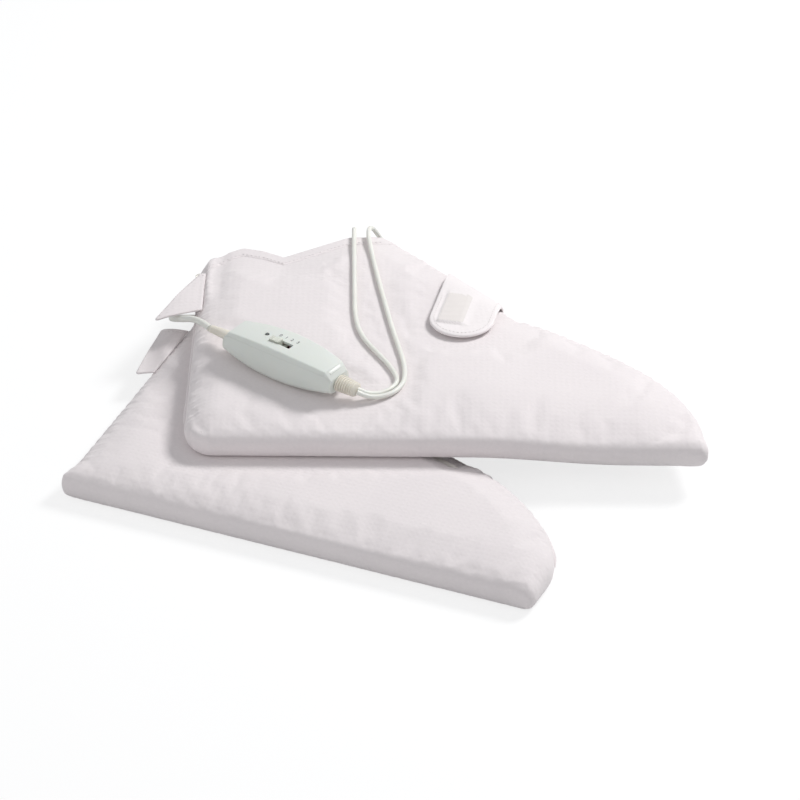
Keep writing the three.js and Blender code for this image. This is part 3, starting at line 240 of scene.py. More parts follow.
class Boot:
    leg_wide, leg_tall, top_allowance = 144, 276, 31
    instep_from, front_from = 240, 182.5
    seam_level = 9

    def __init__(self, name, heel, base, turn, instep, crown, sag, edge_share, heel_corner, toe_corner):
        self.name, self.instep, self.crown = name, instep, crown
        self.sag, self.edge_share = sag, edge_share
        self.matrix = Matrix.Translation((*heel, base)) @ Matrix.Rotation(math.radians(turn), 4, "Z")
        self.turn = math.radians(turn)
        self.sole_end = toe_corner[0][0]
        toe = toe_corner[-1]
        pulls = [toe, (toe[0], 0.42 * instep), (317.5, 0.8 * instep), (self.instep_from, instep)]
        shin = Vector((self.leg_wide - self.instep_from, self.leg_tall - instep)).normalized()
        self.shin = shin
        top = Vector((self.leg_wide, self.leg_tall)) + shin * (self.top_allowance / shin.y)
        back_top = self.leg_tall + self.top_allowance
        rows = [("back", [(0, mix(back_top, heel_corner[0][1], k / 72)) for k in range(72)])]
        rows.append(("heel", [(p.x, p.y) for p in smooth_line([(*p, 0) for p in heel_corner], 2.5)[:-1]]))
        a, b = Vector(heel_corner[-1]), Vector(toe_corner[0])
        rows.append(("sole", [a.lerp(b, k / 84) for k in range(84)]))
        rows.append(("tip", [(p.x, p.y) for p in smooth_line([(*p, 0) for p in toe_corner], 2.5)[:-1]]))
        rows.append(("toe", [self.cubic(pulls, k / 56) for k in range(56)]))
        start = Vector((self.instep_from, instep))
        rows.append(("shin", [start.lerp(top, k / 44) for k in range(44)]))
        self.seam = [Vector(p) for _, points in rows for p in points] + [top]
        self.mouth = [Vector(p) for p in ((0, 230), (14.4, 242), (31.7, 252.3), (47.5, 247.9), (63.4, 239.2),
                                          (83.5, 251.4), (110.9, 268.2), (self.leg_wide, self.leg_tall))]

    @staticmethod
    def cubic(pulls, t):
        shares = ((1 - t) ** 3, 3 * t * (1 - t) ** 2, 3 * t * t * (1 - t), t ** 3)
        return Vector([sum(s * p[k] for s, p in zip(shares, pulls)) for k in (0, 1)])

    def mouth_at(self, u):
        line = self.mouth
        u = min(max(u, 0), self.leg_wide)
        for a, b in zip(line, line[1:]):
            if u <= b.x:
                return mix(a.y, b.y, (u - a.x) / (b.x - a.x))
        return line[-1].y

    def boxed(self, v, front):
        return min(max(1 - (v - 28) / 34 if front else 1 - (v - 3) / 20, 0), 1)

    # Heights of the two faces at a place, from its distance to the sewn edge
    def heights(self, p, apart, foot):
        box = ease(self.boxed(foot.y, foot.x > self.front_from))
        fade = ease((self.mouth_at(p.x) - p.y) / 50)
        crown = mix(min(21, self.crown), self.crown, fade)
        middle = mix(9.0, 11.0, box)
        def rise(x, power):
            x = min(max(x, 0), 1)
            return (1 - (1 - x) ** power) ** (1 / power)
        steep = 0.64 * rise(apart / 9, 2.3) + 0.36 * ease(apart / 55)
        wall = mix(rise(apart / 21, 2.5), steep, self.edge_share)
        high = mix(rise(apart / 26, 2), wall, box)
        low = mix(rise(apart / 18, 2), rise(apart / 6, 2.3), box)
        top = mix(10.3, middle, box) + (crown - mix(10.3, middle, box)) * high
        bottom = mix(7.7, middle, box) * (1 - low)
        return top, bottom

    def placed(self, u, v, w):
        return self.matrix @ Vector((u, v, w)) / 1000

    # How far a toe with nothing under it hangs down
    def droop(self, u):
        return self.sag * ease((u - 205) / 110)

    def hang(self, piece):
        back = self.matrix.inverted()
        for v in piece.data.vertices:
            v.co.z -= self.droop((back @ (v.co * 1000)).x) / 1000


boots = [Boot("upper_boot", (-141.3, -64.4), 24.3, -0.6, 160, 26.5, 6, 1,
              ((0, 21), (0.6, 15.5), (3, 10), (7, 5), (12, 0.8), (18, -1.5)),
              ((352, -2.4), (362, -2.8), (369.5, -2), (372.8, 1.6), (372.6, 8), (370.5, 16))),
         Boot("lower_boot", (-225.7, -76.5), 0, -21.8, 135, 24, 0, 0,
              ((0, 25), (-0.7, 16), (-1.6, 9), (-2.3, 3.5), (-2.2, 0), (0, -2.4), (5, -3.4), (13, -3.8)),
              ((350.5, -7.2), (354.2, -6.4), (356, -2), (356.8, 8), (358.2, 24)))]


def object_of(name, points, faces, material=None):
    data = bpy.data.meshes.new(name)
    data.from_pydata([tuple(p) for p in points], [], faces)
    data.update()
    made = bpy.data.objects.new(name, data)
    bpy.context.scene.collection.objects.link(made)
    if material:
        data.materials.append(material)
    return made


def smooth_shaded(data):
    data.polygons.foreach_set("use_smooth", [True] * len(data.polygons))


# Joins points that lie nearer than this to each other, and turns every face outwards
def mend(data, near=0.0):
    work = bmesh.new()
    work.from_mesh(data)
    if near:
        bmesh.ops.remove_doubles(work, verts=work.verts, dist=near)
    bmesh.ops.recalc_face_normals(work, faces=work.faces)
    work.to_mesh(data)
    work.free()


def take_up(piece):
    bpy.ops.object.select_all(action="DESELECT")
    piece.select_set(True)
    bpy.context.view_layer.objects.active = piece


def finish_with(piece, kind, **settings):
    take_up(piece)
    modifier = piece.modifiers.new(kind.lower(), kind)
    for key, value in settings.items():
        setattr(modifier, key, value)
    bpy.ops.object.modifier_apply(modifier=modifier.name)


def prism(name, boot, outline, low, high):
    points = [boot.placed(p[0], p[1], w) for w in (low, high) for p in outline]
    count = len(outline)
    faces = [tuple(reversed(range(count))), tuple(range(count, 2 * count))]
    faces += [(i, (i + 1) % count, count + (i + 1) % count, count + i) for i in range(count)]
    made = object_of(name, points, faces)
    mend(made.data)
    return made


# Cuts across a piece along the foot, so that it can bend there
def cut_across(boot, piece):
    work = bmesh.new()
    work.from_mesh(piece.data)
    bmesh.ops.remove_doubles(work, verts=work.verts, dist=1e-6)
    heading = boot.matrix.to_3x3() @ Vector((1, 0, 0))
    for u in range(240, 320, 10):
        bmesh.ops.bisect_plane(work, geom=[*work.verts, *work.edges, *work.faces], dist=1e-7,
                               plane_co=boot.placed(u, 0, 0), plane_no=heading)
    work.to_mesh(piece.data)
    work.free()


def beyond_mouth(name, boot, drop):
    line = [(p.x, p.y - drop) for p in boot.mouth]
    outline = [(-40, line[0][1]), *line, (230, line[-1][1]), (230, 360), (-40, 360)]
    return prism(name, boot, outline, -40, 70)


def cut_away(piece, cutter, way="DIFFERENCE"):
    finish_with(piece, "BOOLEAN", object=cutter, operation=way, solver="EXACT")
    bpy.data.objects.remove(cutter, do_unlink=True)


# The pocket inside the wadding, where the heated lining goes
def pocket_outline(boot, extra):
    spine = [Vector((72, 261)), Vector((80.6, boot.instep / 2)),
             Vector((365 - boot.instep * 0.42, boot.instep * 0.32))]
    found = []
    for p in boot.seam:
        p = Vector((min(p.x, boot.sole_end + 5), p.y))
        best = None
        for a, b in zip(spine, spine[1:]):
            run = b - a
            share = min(max((p - a).dot(run) / run.length_squared, 0), 1)
            foot = a + run * share
            if best is None or (foot - p).length < (best - p).length:
                best = foot
        box = boot.boxed(p.y, p.x > boot.front_from)
        q = p + (best - p).normalized() * (mix(15, 5, box) + extra)
        q = Vector((max(q.x, 5.8), max(q.y, 5.8)))
        if not found or (q - found[-1]).length > 2:
            found.append(q)
    return found


# Distance to an edge such as the sewn one, its nearest point and the length along it, for many places
def edge_field(edge, places):
    line = np.array([tuple(p) for p in edge])
    a, run = line[:-1], np.diff(line, axis=0)
    size = np.hypot(run[:, 0], run[:, 1])
    begun = np.concatenate([[0], np.cumsum(size)[:-1]])
    apart, foot, along = np.empty(len(places)), np.empty((len(places), 2)), np.empty(len(places))
    for start in range(0, len(places), 4000):
        p = places[start:start + 4000]
        share = ((p[:, None, :] - a[None]) * run[None]).sum(2) / (size ** 2)[None]
        share = np.clip(share, 0, 1)
        near = a[None] + run[None] * share[..., None]
        far = np.hypot(*(p[:, None, :] - near).transpose(2, 0, 1))
        best = far.argmin(1)
        rows = np.arange(len(p))
        apart[start:start + 4000] = far[rows, best]
        foot[start:start + 4000] = near[rows, best]
        along[start:start + 4000] = begun[best] + share[rows, best] * size[best]
    return apart, foot, along


# Which of many places lie inside a closed outline
def within(outline, places):
    a = np.array([tuple(p) for p in outline])
    b = np.roll(a, -1, axis=0)
    found = np.zeros(len(places), bool)
    for start in range(0, len(places), 4000):
        q = places[start:start + 4000]
        crossed = (a[None, :, 1] > q[:, None, 1]) != (b[None, :, 1] > q[:, None, 1])
        with np.errstate(divide="ignore", invalid="ignore"):
            at = a[None, :, 0] + (b - a)[None, :, 0] * (q[:, None, 1] - a[None, :, 1]) / (b - a)[None, :, 1]
        found[start:start + 4000] = (crossed & (q[:, None, 0] < at)).sum(1) % 2 == 1
    return found


# A closed skin from a flat net of faces with a point above and a point below each of its corners
def two_faced(name, above, below, faces):
    size = len(above)
    skin = [tuple(f) for f in faces] + [tuple(k + size for k in reversed(f)) for f in faces]
    sides = {(m, n) for f in faces for m, n in zip(f, (*f[1:], f[0]))}
    skin += [(n, m, m + size, n + size) for m, n in sorted(sides) if (n, m) not in sides]
    made = object_of(name, [*above, *below], skin)
    mend(made.data, 0.00005)
    return made


def pillow(name, boot):
    count = len(boot.seam)
    spine_side = pocket_outline(boot, 0)
    flat = [p.copy() for p in boot.seam]
    for depth in (0.4, 1.2, 2.4, 4.2, 6.6, 9.8, 14, 19, 25):
        flat += [p + (q - p).normalized() * depth for p, q in zip(boot.seam, spine_side)]
    grid = np.array([(u, v) for u in np.arange(4.0, 364, 5) for v in np.arange(4.0, 306, 5)])
    grid = grid[within(boot.seam, grid)]
    apart = edge_field(boot.seam, grid)[0]
    flat += [Vector(p) for p in grid[apart > 28]]
    edges = [(k, (k + 1) % count) for k in range(count)]
    places, _, faces, _, _, _ = delaunay_2d_cdt(flat, edges, [], 1, 1e-4)
    apart, foot, _ = edge_field(boot.seam, np.array([tuple(p) for p in places]))
    pairs = [boot.heights(p, d, Vector(f)) for p, d, f in zip(places, apart, foot)]
    above = [boot.placed(p.x, p.y, h[0]) for p, h in zip(places, pairs)]
    below = [boot.placed(p.x, p.y, h[1]) for p, h in zip(places, pairs)]
    made = two_faced(name, above, below, faces)
    finish_with(made, "REMESH", mode="VOXEL", voxel_size=0.003)
    finish_with(made, "SMOOTH", factor=0.5, iterations=3)
    return made


def flat_places(boot, piece):
    points = np.empty(len(piece.data.vertices) * 3)
    piece.data.vertices.foreach_get("co", points)
    points = points.reshape(-1, 3) * 1000
    back = np.array(boot.matrix.inverted())
    return points @ back[:3, :3].T + back[:3, 3]


def put_places(boot, piece, places):
    there = np.array(boot.matrix)
    points = (places @ there[:3, :3].T + there[:3, 3]) / 1000
    piece.data.vertices.foreach_set("co", points.ravel())
    piece.data.update()


# The controller's place on the upper boot and its turn, and its reach to each side of its middle
controller_place, controller_turn = (-69.6, 5.7, 51.1), math.radians(-37)
controller_reach = (70, 18)


# 0 where something lies on the cover or the cover lies on something, 1 where it is free to swell
def freedom(boot, places):
    there = np.array(boot.matrix)
    world = places @ there[:3, :3].T + there[:3, 3]
    free = np.ones(len(places))
    def ramp(x, low, high):
        x = np.clip((x - low) / (high - low), 0, 1)
        return x * x * (3 - 2 * x)
    x, y = world[:, 0] - controller_place[0], world[:, 1] - controller_place[1]
    level, upright = math.cos(controller_turn), math.sin(controller_turn)
    along, across = x * level + y * upright, -x * upright + y * level
    far = np.hypot(np.maximum(np.abs(along) - controller_reach[0], 0),
                   np.maximum(np.abs(across) - controller_reach[1], 0))
    free = np.minimum(free, ramp(far, 0, 12))
    if boot.name == "upper_boot":
        for line in (upper_lead_route, lower_lead_route, mains_route):
            route = np.array([tuple(p) for p in smooth_line(line, 4.0)])
            far = np.full(len(places), 1e3)
            for p in route:
                far = np.minimum(far, np.hypot(world[:, 0] - p[0], world[:, 1] - p[1]))
            free = np.minimum(free, ramp(far, 2.5, 10))
        far = np.hypot(np.maximum(np.abs(world[:, 0] - 69) - 27, 0),
                       np.maximum(np.abs(world[:, 1] - 102) - 55, 0))
        free = np.minimum(free, ramp(far, 2, 14))
    else:
        above = boots[0]
        back = np.array(above.matrix.inverted())
        own = world @ back[:3, :3].T + back[:3, 3]
        apart, _, _ = edge_field(above.seam, own[:, :2])
        inside = within(above.seam, own[:, :2])
        free = np.minimum(free, np.where(inside, 0.0, ramp(apart, 2, 16)))
    flap = np.hypot(np.maximum(places[:, 0] - 8, 0), np.maximum(np.abs(places[:, 1] - 182) - 42, 0))
    free = np.minimum(free, ramp(flap, 2, 14))
    return np.where(places[:, 2] < 7, 0.0, free)


covers = {}
for boot in boots:
    cover = pillow(f"{boot.name}_cover", boot)
    before = flat_places(boot, cover)
    apart = edge_field(boot.seam, before[:, :2])[0]
    mouth = np.array([boot.mouth_at(u) for u in before[:, 0]])
    free = freedom(boot, before)
    held = np.maximum(1 - free, np.clip(1 - (apart - 1) / 5, 0, 1))
    held = np.maximum(held, np.clip((before[:, 1] - mouth + 34) / 16, 0, 1))
    held = np.where(before[:, 2] < 2.5, 1, held)
    group = cover.vertex_groups.new(name="held")
    for k, weight in enumerate(held):
        if weight > 0.01:
            group.add([k], float(weight), "REPLACE")
    cloth = cover.modifiers.new("filling", "CLOTH")
    sewn = cloth.settings
    sewn.quality = 5
    sewn.mass = 0.3
    sewn.tension_stiffness = sewn.compression_stiffness = 12
    sewn.shear_stiffness = 5
    sewn.bending_stiffness = 0.4
    sewn.shrink_min = -0.012
    sewn.use_pressure = True
    sewn.uniform_pressure_force = 4
    sewn.vertex_group_mass = "held"
    sewn.effector_weights.gravity = 0
    cloth.collision_settings.use_collision = False
    cloth.point_cache.frame_start, cloth.point_cache.frame_end = 1, 20
    for k in range(1, 21):
        bpy.context.scene.frame_set(k)
    take_up(cover)
    bpy.ops.object.modifier_apply(modifier="filling")
    bpy.context.scene.frame_set(1)
    after = flat_places(boot, cover)
    moved = after - before
    size = np.maximum(np.linalg.norm(moved, axis=1), 1e-6)
    print(boot.name, "cloth moved", round(float(size.max()), 2), "mm, middle",
          round(float(np.median(size)), 2))
    moved *= (np.minimum(size, 3.0) / size * (1 - held))[:, None]
    put_places(boot, cover, before + moved)
    cover.vertex_groups.clear()
    covers[boot.name] = cover


# Brushed polyester: a fine plain weave with a short nap, which gives a soft edge sheen and no gloss.
# Its real thread spacing of 0.25 mm is drawn at 0.7 mm, so that it shows.
def brushed_polyester(name, turn, light, deep):
    material, tree, shader = new_material(name, Roughness=0.86, Sheen_Weight=0.35, Sheen_Roughness=0.55)
    shader.inputs["Sheen Tint"].default_value = (1, 0.985, 0.975, 1)
    shader.inputs["Specular IOR Level"].default_value = 0.25
    where = add_node(tree, "ShaderNodeTexCoord").outputs["Object"]
    turned = add_node(tree, "ShaderNodeMapping", {"Vector": where, "Rotation": (0, 0, -turn)})
    spacing = 0.7
    bands = {"Vector": turned.outputs[0], "Scale": 1000 / (spacing * 20), "Distortion": 0.6, "Detail": 1}
    warp, weft = [add_node(tree, "ShaderNodeTexWave", bands, wave_type="BANDS", bands_direction=way)
                  for way in "XY"]
    thread = add_node(tree, "ShaderNodeMath", {0: warp.outputs["Fac"], 1: weft.outputs["Fac"]},
                      operation="MULTIPLY")
    nap = add_node(tree, "ShaderNodeTexNoise", {"Vector": where, "Scale": 1000 / 2.2, "Detail": 5})
    cloud = add_node(tree, "ShaderNodeTexNoise", {"Vector": where, "Scale": 1000 / 70, "Detail": 3})
    tint = add_node(tree, "ShaderNodeMix", {0: cloud.outputs["Fac"]}, data_type="RGBA")
    tint.inputs[6].default_value = linear(light)
    tint.inputs[7].default_value = linear(deep)
    shade = add_node(tree, "ShaderNodeMapRange", {"Value": nap.outputs["Fac"], 3: 0.95, 4: 1.03})
    dye = add_node(tree, "ShaderNodeMix", {0: 1.0, 6: tint.outputs[2]}, data_type="RGBA",
                   blend_type="MULTIPLY")
    tree.links.new(shade.outputs[0], dye.inputs[7])
    tree.links.new(dye.outputs[2], shader.inputs["Base Color"])
    low = add_node(tree, "ShaderNodeBump",
                   {"Height": nap.outputs["Fac"], "Strength": 0.25, "Distance": 0.0005})
    bump = add_node(tree, "ShaderNodeBump", {"Height": thread.outputs[0], "Strength": 0.25,
                                             "Distance": 0.0003, "Normal": low.outputs[0]})
    tree.links.new(bump.outputs[0], shader.inputs["Normal"])
    return material


cover_ends, binding_begins = 14.3, 14
pocket_heights, binding_heights, sock_heights = (5.7, 19.1), (7.7, 17.1), (8.0, 16.8)
fabrics, whole = {}, {}
for boot in boots:
    cover = covers[boot.name]
    fabric = brushed_polyester(f"brushed_polyester_{boot.name}", boot.turn, "#F0E9E9", "#E6DFE0")
    fabrics[boot.name] = fabric
    cover.data.materials.clear()
    cover.data.materials.append(fabric)
    finish_with(cover, "SUBSURF", levels=1, render_levels=1)
    places = flat_places(boot, cover)
    apart, foot, along = edge_field(boot.seam, places[:, :2])
    # Short puckers stand off the sewn edges, where the thread draws the cloth together
    wave = np.sin(along * 0.72 + 1.9 * np.sin(along * 0.11))
    wave += 0.6 * np.sin(along * 1.31 + 2 * np.sin(along * 0.07))
    sewn = np.where(foot[:, 0] > boot.front_from, np.clip((foot[:, 1] - 40) / 25, 0, 1),
                    np.clip((foot[:, 1] - 8) / 20, 0, 1))
    corner = np.exp(-np.hypot(foot[:, 0] - 8, foot[:, 1] - 8) / 9)
    corner += np.exp(-np.hypot(foot[:, 0] - 368, foot[:, 1] - 4) / 9)
    depth = 0.5 * sewn * np.exp(-((apart - 5) / 6) ** 2) + 0.5 * corner * np.exp(-apart / 12)
    places[:, 2] += np.where(places[:, 2] > 12, 1, -0.4) * wave * depth
    if boot.name == "upper_boot":
        # The flap behind the leg pulls a crease into the cover beside it
        crease = 1.5 * np.exp(-((places[:, 0] - 8 - np.sin(places[:, 1] / 19)) / 3.2) ** 2)
        crease -= 0.6 * np.exp(-((places[:, 0] - 17) / 4) ** 2)
        crease *= np.clip((places[:, 1] - 165) / 25, 0, 1) * (places[:, 2] > 12)
        places[:, 2] += 1.9 * crease
    else:
        places[:, 2] = np.maximum(places[:, 2], 0.1)
    put_places(boot, cover, places)
    smooth_shaded(cover.data)
    whole[boot.name] = cover.copy()
    whole[boot.name].data = cover.data.copy()
    bpy.context.scene.collection.objects.link(whole[boot.name])
    cut_away(cover, beyond_mouth("cutter", boot, cover_ends))
    pocket = prism("pocket_cutter", boot, pocket_outline(boot, 0), *pocket_heights)
    cut_across(boot, pocket)
    cut_away(cover, pocket)
    boot.hang(cover)
    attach(cover, "boots_and_controller")
    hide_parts(*[f"{boot.name}_{piece}" for piece in
                         ("top_panel", "bottom_panel", "sole_gusset", "top_wadding", "bottom_wadding")])
    print(cover.name, len(cover.data.vertices), "points")


# The mouth of each boot is bound with a doubled strip of the same cloth, turned over the raw edges of
# cover and lining and sewn through with one row of stitches. A round hole in it lets the lead in.
def turned_edge(name, boot):
    hem = whole[boot.name]
    hem.name = hem.data.name = name
    cut_away(hem, beyond_mouth("cutter", boot, 0))
    cut_away(hem, beyond_mouth("cutter", boot, binding_begins), "INTERSECT")
    finish_with(hem, "REMESH", mode="VOXEL", voxel_size=0.0013)
    finish_with(hem, "SMOOTH", factor=0.5, iterations=6)
    finish_with(hem, "DISPLACE", strength=0.0007, mid_level=0.0)
    cut_away(hem, prism("cutter", boot, pocket_outline(boot, 0), *binding_heights))
    return hem


# Sewing thread: short twisted stitches, each a bead with pointed ends laid on the cloth
def stitches(name, boot, skin, line, above, pitch, material, body, size=0.45, reach=2.2):
    tree = BVHTree.FromObject(skin, bpy.context.evaluated_depsgraph_get())
    work = bmesh.new()
    start = 0.0
    marks = []
    for a, b in zip(line, line[1:]):
        span = (b - a).length
        while start < span:
            marks.append((a.lerp(b, start / span), (b - a).normalized()))
            start += pitch
        start -= span
    for place, run in marks:
        side = 1 if above else -1
        ends = []
        for step in (-0.5, -0.25, 0, 0.25, 0.5):
            p = place + run * step * reach
            hit, normal, _, _ = tree.ray_cast(boot.placed(p.x, p.y, 60 * side), Vector((0, 0, -side)))
            if hit is None:
                break
            lift = size * (0.55 - 2.6 * abs(step) ** 2)
            raised = hit + normal * lift / 1000
            ends.append((Vector((*raised.xy, max(raised.z, 0.0003))), normal))
        if len(ends) < 5:
            continue
        rings = []
        for k, (p, normal) in enumerate(ends):
            ahead = (ends[min(k + 1, 4)][0] - ends[max(k - 1, 0)][0]).normalized()
            across = ahead.cross(normal).normalized()
            wide = size / 2000 * (0.35, 0.9, 1, 0.9, 0.35)[k]
            rings.append([work.verts.new(p + (across * math.cos(t) + normal * math.sin(t)) * wide)
                          for t in (math.pi * (j + 0.5) / 3 for j in range(6))])
        for near, far in zip(rings, rings[1:]):
            for j in range(6):
                work.faces.new((near[j], near[(j + 1) % 6], far[(j + 1) % 6], far[j]))
        work.faces.new(list(reversed(rings[0])))
        work.faces.new(rings[-1])
    bmesh.ops.recalc_face_normals(work, faces=work.faces)
    data = bpy.data.meshes.new(name)
    work.to_mesh(data)
    work.free()
    smooth_shaded(data)
    data.materials.append(material)
    made = bpy.data.objects.new(name, data)
    bpy.context.scene.collection.objects.link(made)
    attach(made, body)
    return made


# Spun polyester sewing thread, a shade lighter than the cloth, with a slight lustre along its twist
thread, tree, shader = new_material("spun_polyester_thread", Roughness=0.6, Sheen_Weight=0.2)
where = add_node(tree, "ShaderNodeTexCoord").outputs["Object"]
clouded(tree, shader, where, 0.6, 2, ("#D9D2D2", "#F4F0EF"))

grommets = {"upper_boot": 118, "lower_boot": 132}
for boot in boots:
    hem = turned_edge(f"{boot.name}_bound_mouth", boot)
    u = grommets[boot.name]
    line = boot.mouth
    slope = next((b.y - a.y) / (b.x - a.x) for a, b in zip(line, line[1:]) if u <= b.x)
    bpy.ops.mesh.primitive_cylinder_add(vertices=32, radius=0.0029, depth=0.018)
    drill = bpy.context.object
    seat = boot.matrix @ Matrix.Translation((u, boot.mouth_at(u), 4.1))
    seat = seat @ Matrix.Rotation(math.atan(slope), 4, "Z")
    seat.translation = seat.translation / 1000
    drill.matrix_world = seat @ Matrix.Rotation(math.pi / 2, 4, "X")
    bpy.context.view_layer.update()
    cut_away(hem, drill)
    hem.data.materials.clear()
    hem.data.materials.append(fabrics[boot.name])
    for v in hem.data.vertices:
        v.co.z = max(v.co.z, 0.0002)
    smooth_shaded(hem.data)
    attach(hem, "boots_and_controller")
    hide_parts(f"{boot.name}_mouth_hem")
    row = [Vector((mix(5, 139, k / 60), 0)) for k in range(61)]
    for p in row:
        p.y = boot.mouth_at(p.x) - 11.6
    for above, face in ((True, "upper"), (False, "under")):
        stitches(f"{boot.name}_mouth_stitches_{face}", boot, hem, row, above, 3.3, thread,
                 "boots_and_controller")


# Up the shin and the back of the leg the two panels' seam shows as a thin soft bead of the cover's
# own cloth. The thread draws it in at each stitch.
for boot in boots:
    front = [p for p in boot.seam if p.x > boot.leg_wide and 38 < p.y < 260.5]
    back = [p for p in boot.seam if p.x == 0 and 22 < p.y < 215]
    for part, run in (("front", front), ("back", back)):
        line = smooth_line([(p.x, p.y, 0) for p in run], 1.1)
        route = [boot.placed(p.x, p.y, boot.seam_level - boot.droop(p.x)) * 1000 for p in line]
        bead = tube(f"{boot.name}_{part}_seam_bead", route, 2.7, fabrics[boot.name])
        bead.data.bevel_resolution = 2
        for k, point in enumerate(bead.data.splines[0].points):
            drawn = 0.92 + 0.09 * math.sin(k * 1.9) + 0.05 * math.sin(k * 0.23)
            point.radius = drawn * min(1, (k + 2) / 12, (len(line) - k) / 12)
        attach(bead, "boots_and_controller")
        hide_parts(f"{boot.name}_{part}_piping")


# The sock inside each boot is short-pile polyester fleece, one cut folded along the sole and sewn up
# the back and the shin. Its raw edge is caught in the bound mouth.
fleece, tree, shader = new_material("short_pile_fleece", Roughness=0.95, Sheen_Weight=0.5,
                                    Sheen_Roughness=0.6)
# The pile's tufts are 0.5 mm wide, drawn at 1.4 mm so that they show
where = add_node(tree, "ShaderNodeTexCoord").outputs["Object"]
pile = add_node(tree, "ShaderNodeTexVoronoi", {"Vector": where, "Scale": 1000 / 1.4})
clouded(tree, shader, where, 12, 4, ("#E2DAD3", "#F4EFEA"))
uneven(tree, shader, pile.outputs["Distance"], 0.5, 0.6)
for boot in boots:
    sock = prism(f"{boot.name}_fleece_sock", boot, pocket_outline(boot, 0.6), *sock_heights)
    cut_away(sock, beyond_mouth("cutter", boot, 1))
    work = bmesh.new()
    work.from_mesh(sock.data)
    back = boot.matrix.inverted()
    mouth_faces = []
    for face in work.faces:
        corners = [back @ (v.co * 1000) for v in face.verts]
        if all(abs(p.y - boot.mouth_at(p.x) + 1) < 0.1 for p in corners):
            mouth_faces.append(face)
    bmesh.ops.delete(work, geom=mouth_faces, context="FACES")
    work.to_mesh(sock.data)
    work.free()
    finish_with(sock, "BEVEL", width=0.0025, segments=3)
    cut_across(boot, sock)
    boot.hang(sock)
    finish_with(sock, "SOLIDIFY", thickness=0.0012, offset=-1, use_even_offset=True)
    sock.data.materials.append(fleece)
    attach(sock, "boots_and_controller")
    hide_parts(f"{boot.name}_lining_bottom", f"{boot.name}_lining_top")


# The instep strap is a D-shaped tab of doubled polyester with a padded rim and a raised patch of
# smooth woven tape, sewn into the shin seam. It folds over the rounded edge and lies on the instep.
strap_half_wide, strap_straight, strap_base, strap_lean = 24, 58, 211, 12.5


def strap_lines(boot):
    lean = math.radians(strap_lean)
    up_shin = (strap_base - boot.instep_from) / boot.shin.x
    base = Vector((boot.instep_from, boot.instep)) + boot.shin * up_shin
    along = Vector((-math.sin(lean), -math.cos(lean)))
    across = Vector((-along.y, along.x))
    steep = along.dot(Vector((-boot.shin.y, boot.shin.x)))
    return base, along, across, steep


def from_rim(boot, p):
    base, along, across, _ = strap_lines(boot)
    a, b = (p - base).dot(across), (p - base).dot(along)
    return max(strap_half_wide - (math.hypot(a, b - strap_straight) if b > strap_straight else abs(a)), 0)


def strap_tab(name, boot, profile, ends, materials):
    base, along, across, steep = strap_lines(boot)
    columns, turns, flats = 61, 16, 48
    inner, outer, tops = [], [], []
    for j in range(columns):
        side = -math.cos(math.pi * j / (columns - 1))
        start = base + boot.shin * (strap_half_wide * side / across.dot(boot.shin))
        reach = strap_straight + strap_half_wide * math.sqrt(max(1 - side * side, 0))
        end = base + across * strap_half_wide * side + along * reach
        length = (end - start).dot(along)
        rows = [[(start + along * (depth / steep), w) for depth, w in profile(k / turns)]
                for k in range(turns + 1)]
        begun = profile(1)[0][0] / steep
        for k in range(1, flats + 1):
            p = start + along * mix(begun, length, 1 - (1 - k / flats) ** 1.6)
            rows.append([(p, ends[0]), (p, ends[1])])
        for (p, low), (q, high) in rows:
            inset = from_rim(boot, (p + q) / 2)
            full = math.sqrt(1 - (1 - min(inset / 0.9, 1)) ** 2)
            flat = (p + q) / 2 - base
            a, b = flat.dot(across), flat.dot(along)
            rim = 0.8 * math.sqrt(1 - (1 - min(inset / 3, 1)) ** 2)
            raised = ease((a + 17.4) / 0.9) * ease((68 - b) / 0.9) * (1 - ease((a + 1) / 9))
            raised *= ease((b - 20) / 12)
            rim = rim * ease((b - 4) / 14) + 1.8 * raised
            a, b = Vector((*p, low)), Vector((*q, high))
            middle, half = (a + b) / 2, (b - a) / 2
            inner.append(boot.placed(*(middle - half * full)))
            over = boot.placed(*(middle + half * (full + rim)))
            outer.append(Vector((*over.xy, max(over.z, 0.0002))))
            tops.append(raised)
    rows = turns + flats + 1
    count = columns * rows
    faces = []
    for j in range(columns - 1):
        for k in range(rows - 1):
            a, b, c, d = j * rows + k, j * rows + k + 1, (j + 1) * rows + k + 1, (j + 1) * rows + k
            faces += [(a, b, c, d), (a + count, d + count, c + count, b + count)]
        faces.append((j * rows, (j + 1) * rows, (j + 1) * rows + count, j * rows + count))
    made = object_of(name, inner + outer, faces)
    for material in materials:
        made.data.materials.append(material)
    for face in made.data.polygons:
        if min(face.vertices) >= count and min(tops[k - count] for k in face.vertices) > 0.6:
            face.material_index = 1
    mend(made.data, 1e-6)
    smooth_shaded(made.data)
    return made


def over_edge(share):
    if share == 0:
        return [(2.2, 9), (0.4, 9)]
    turn = (share * 16 - 1) / 15 * math.pi / 2
    foot = Vector((26 * (1 - math.cos(turn)), 10.5 + 16 * math.sin(turn)))
    out = Vector((-16 * math.cos(turn), 26 * math.sin(turn))).normalized()
    clear = mix(-2.2, 2.6, ease(turn / 1.1))
    return [tuple(foot + out * (clear + lifted)) for lifted in (0, 1.8)]


def under_edge(share):
    if share == 0:
        return [(-2.3, 10.5), (-4.1, 10.5)]
    turn = (share * 16 - 1) / 15 * math.pi / 2
    return [(8 - (10.3 + lifted) * math.cos(turn), 7.5 - (5.4 + lifted) * math.sin(turn))
            for lifted in (0, 1.8)]


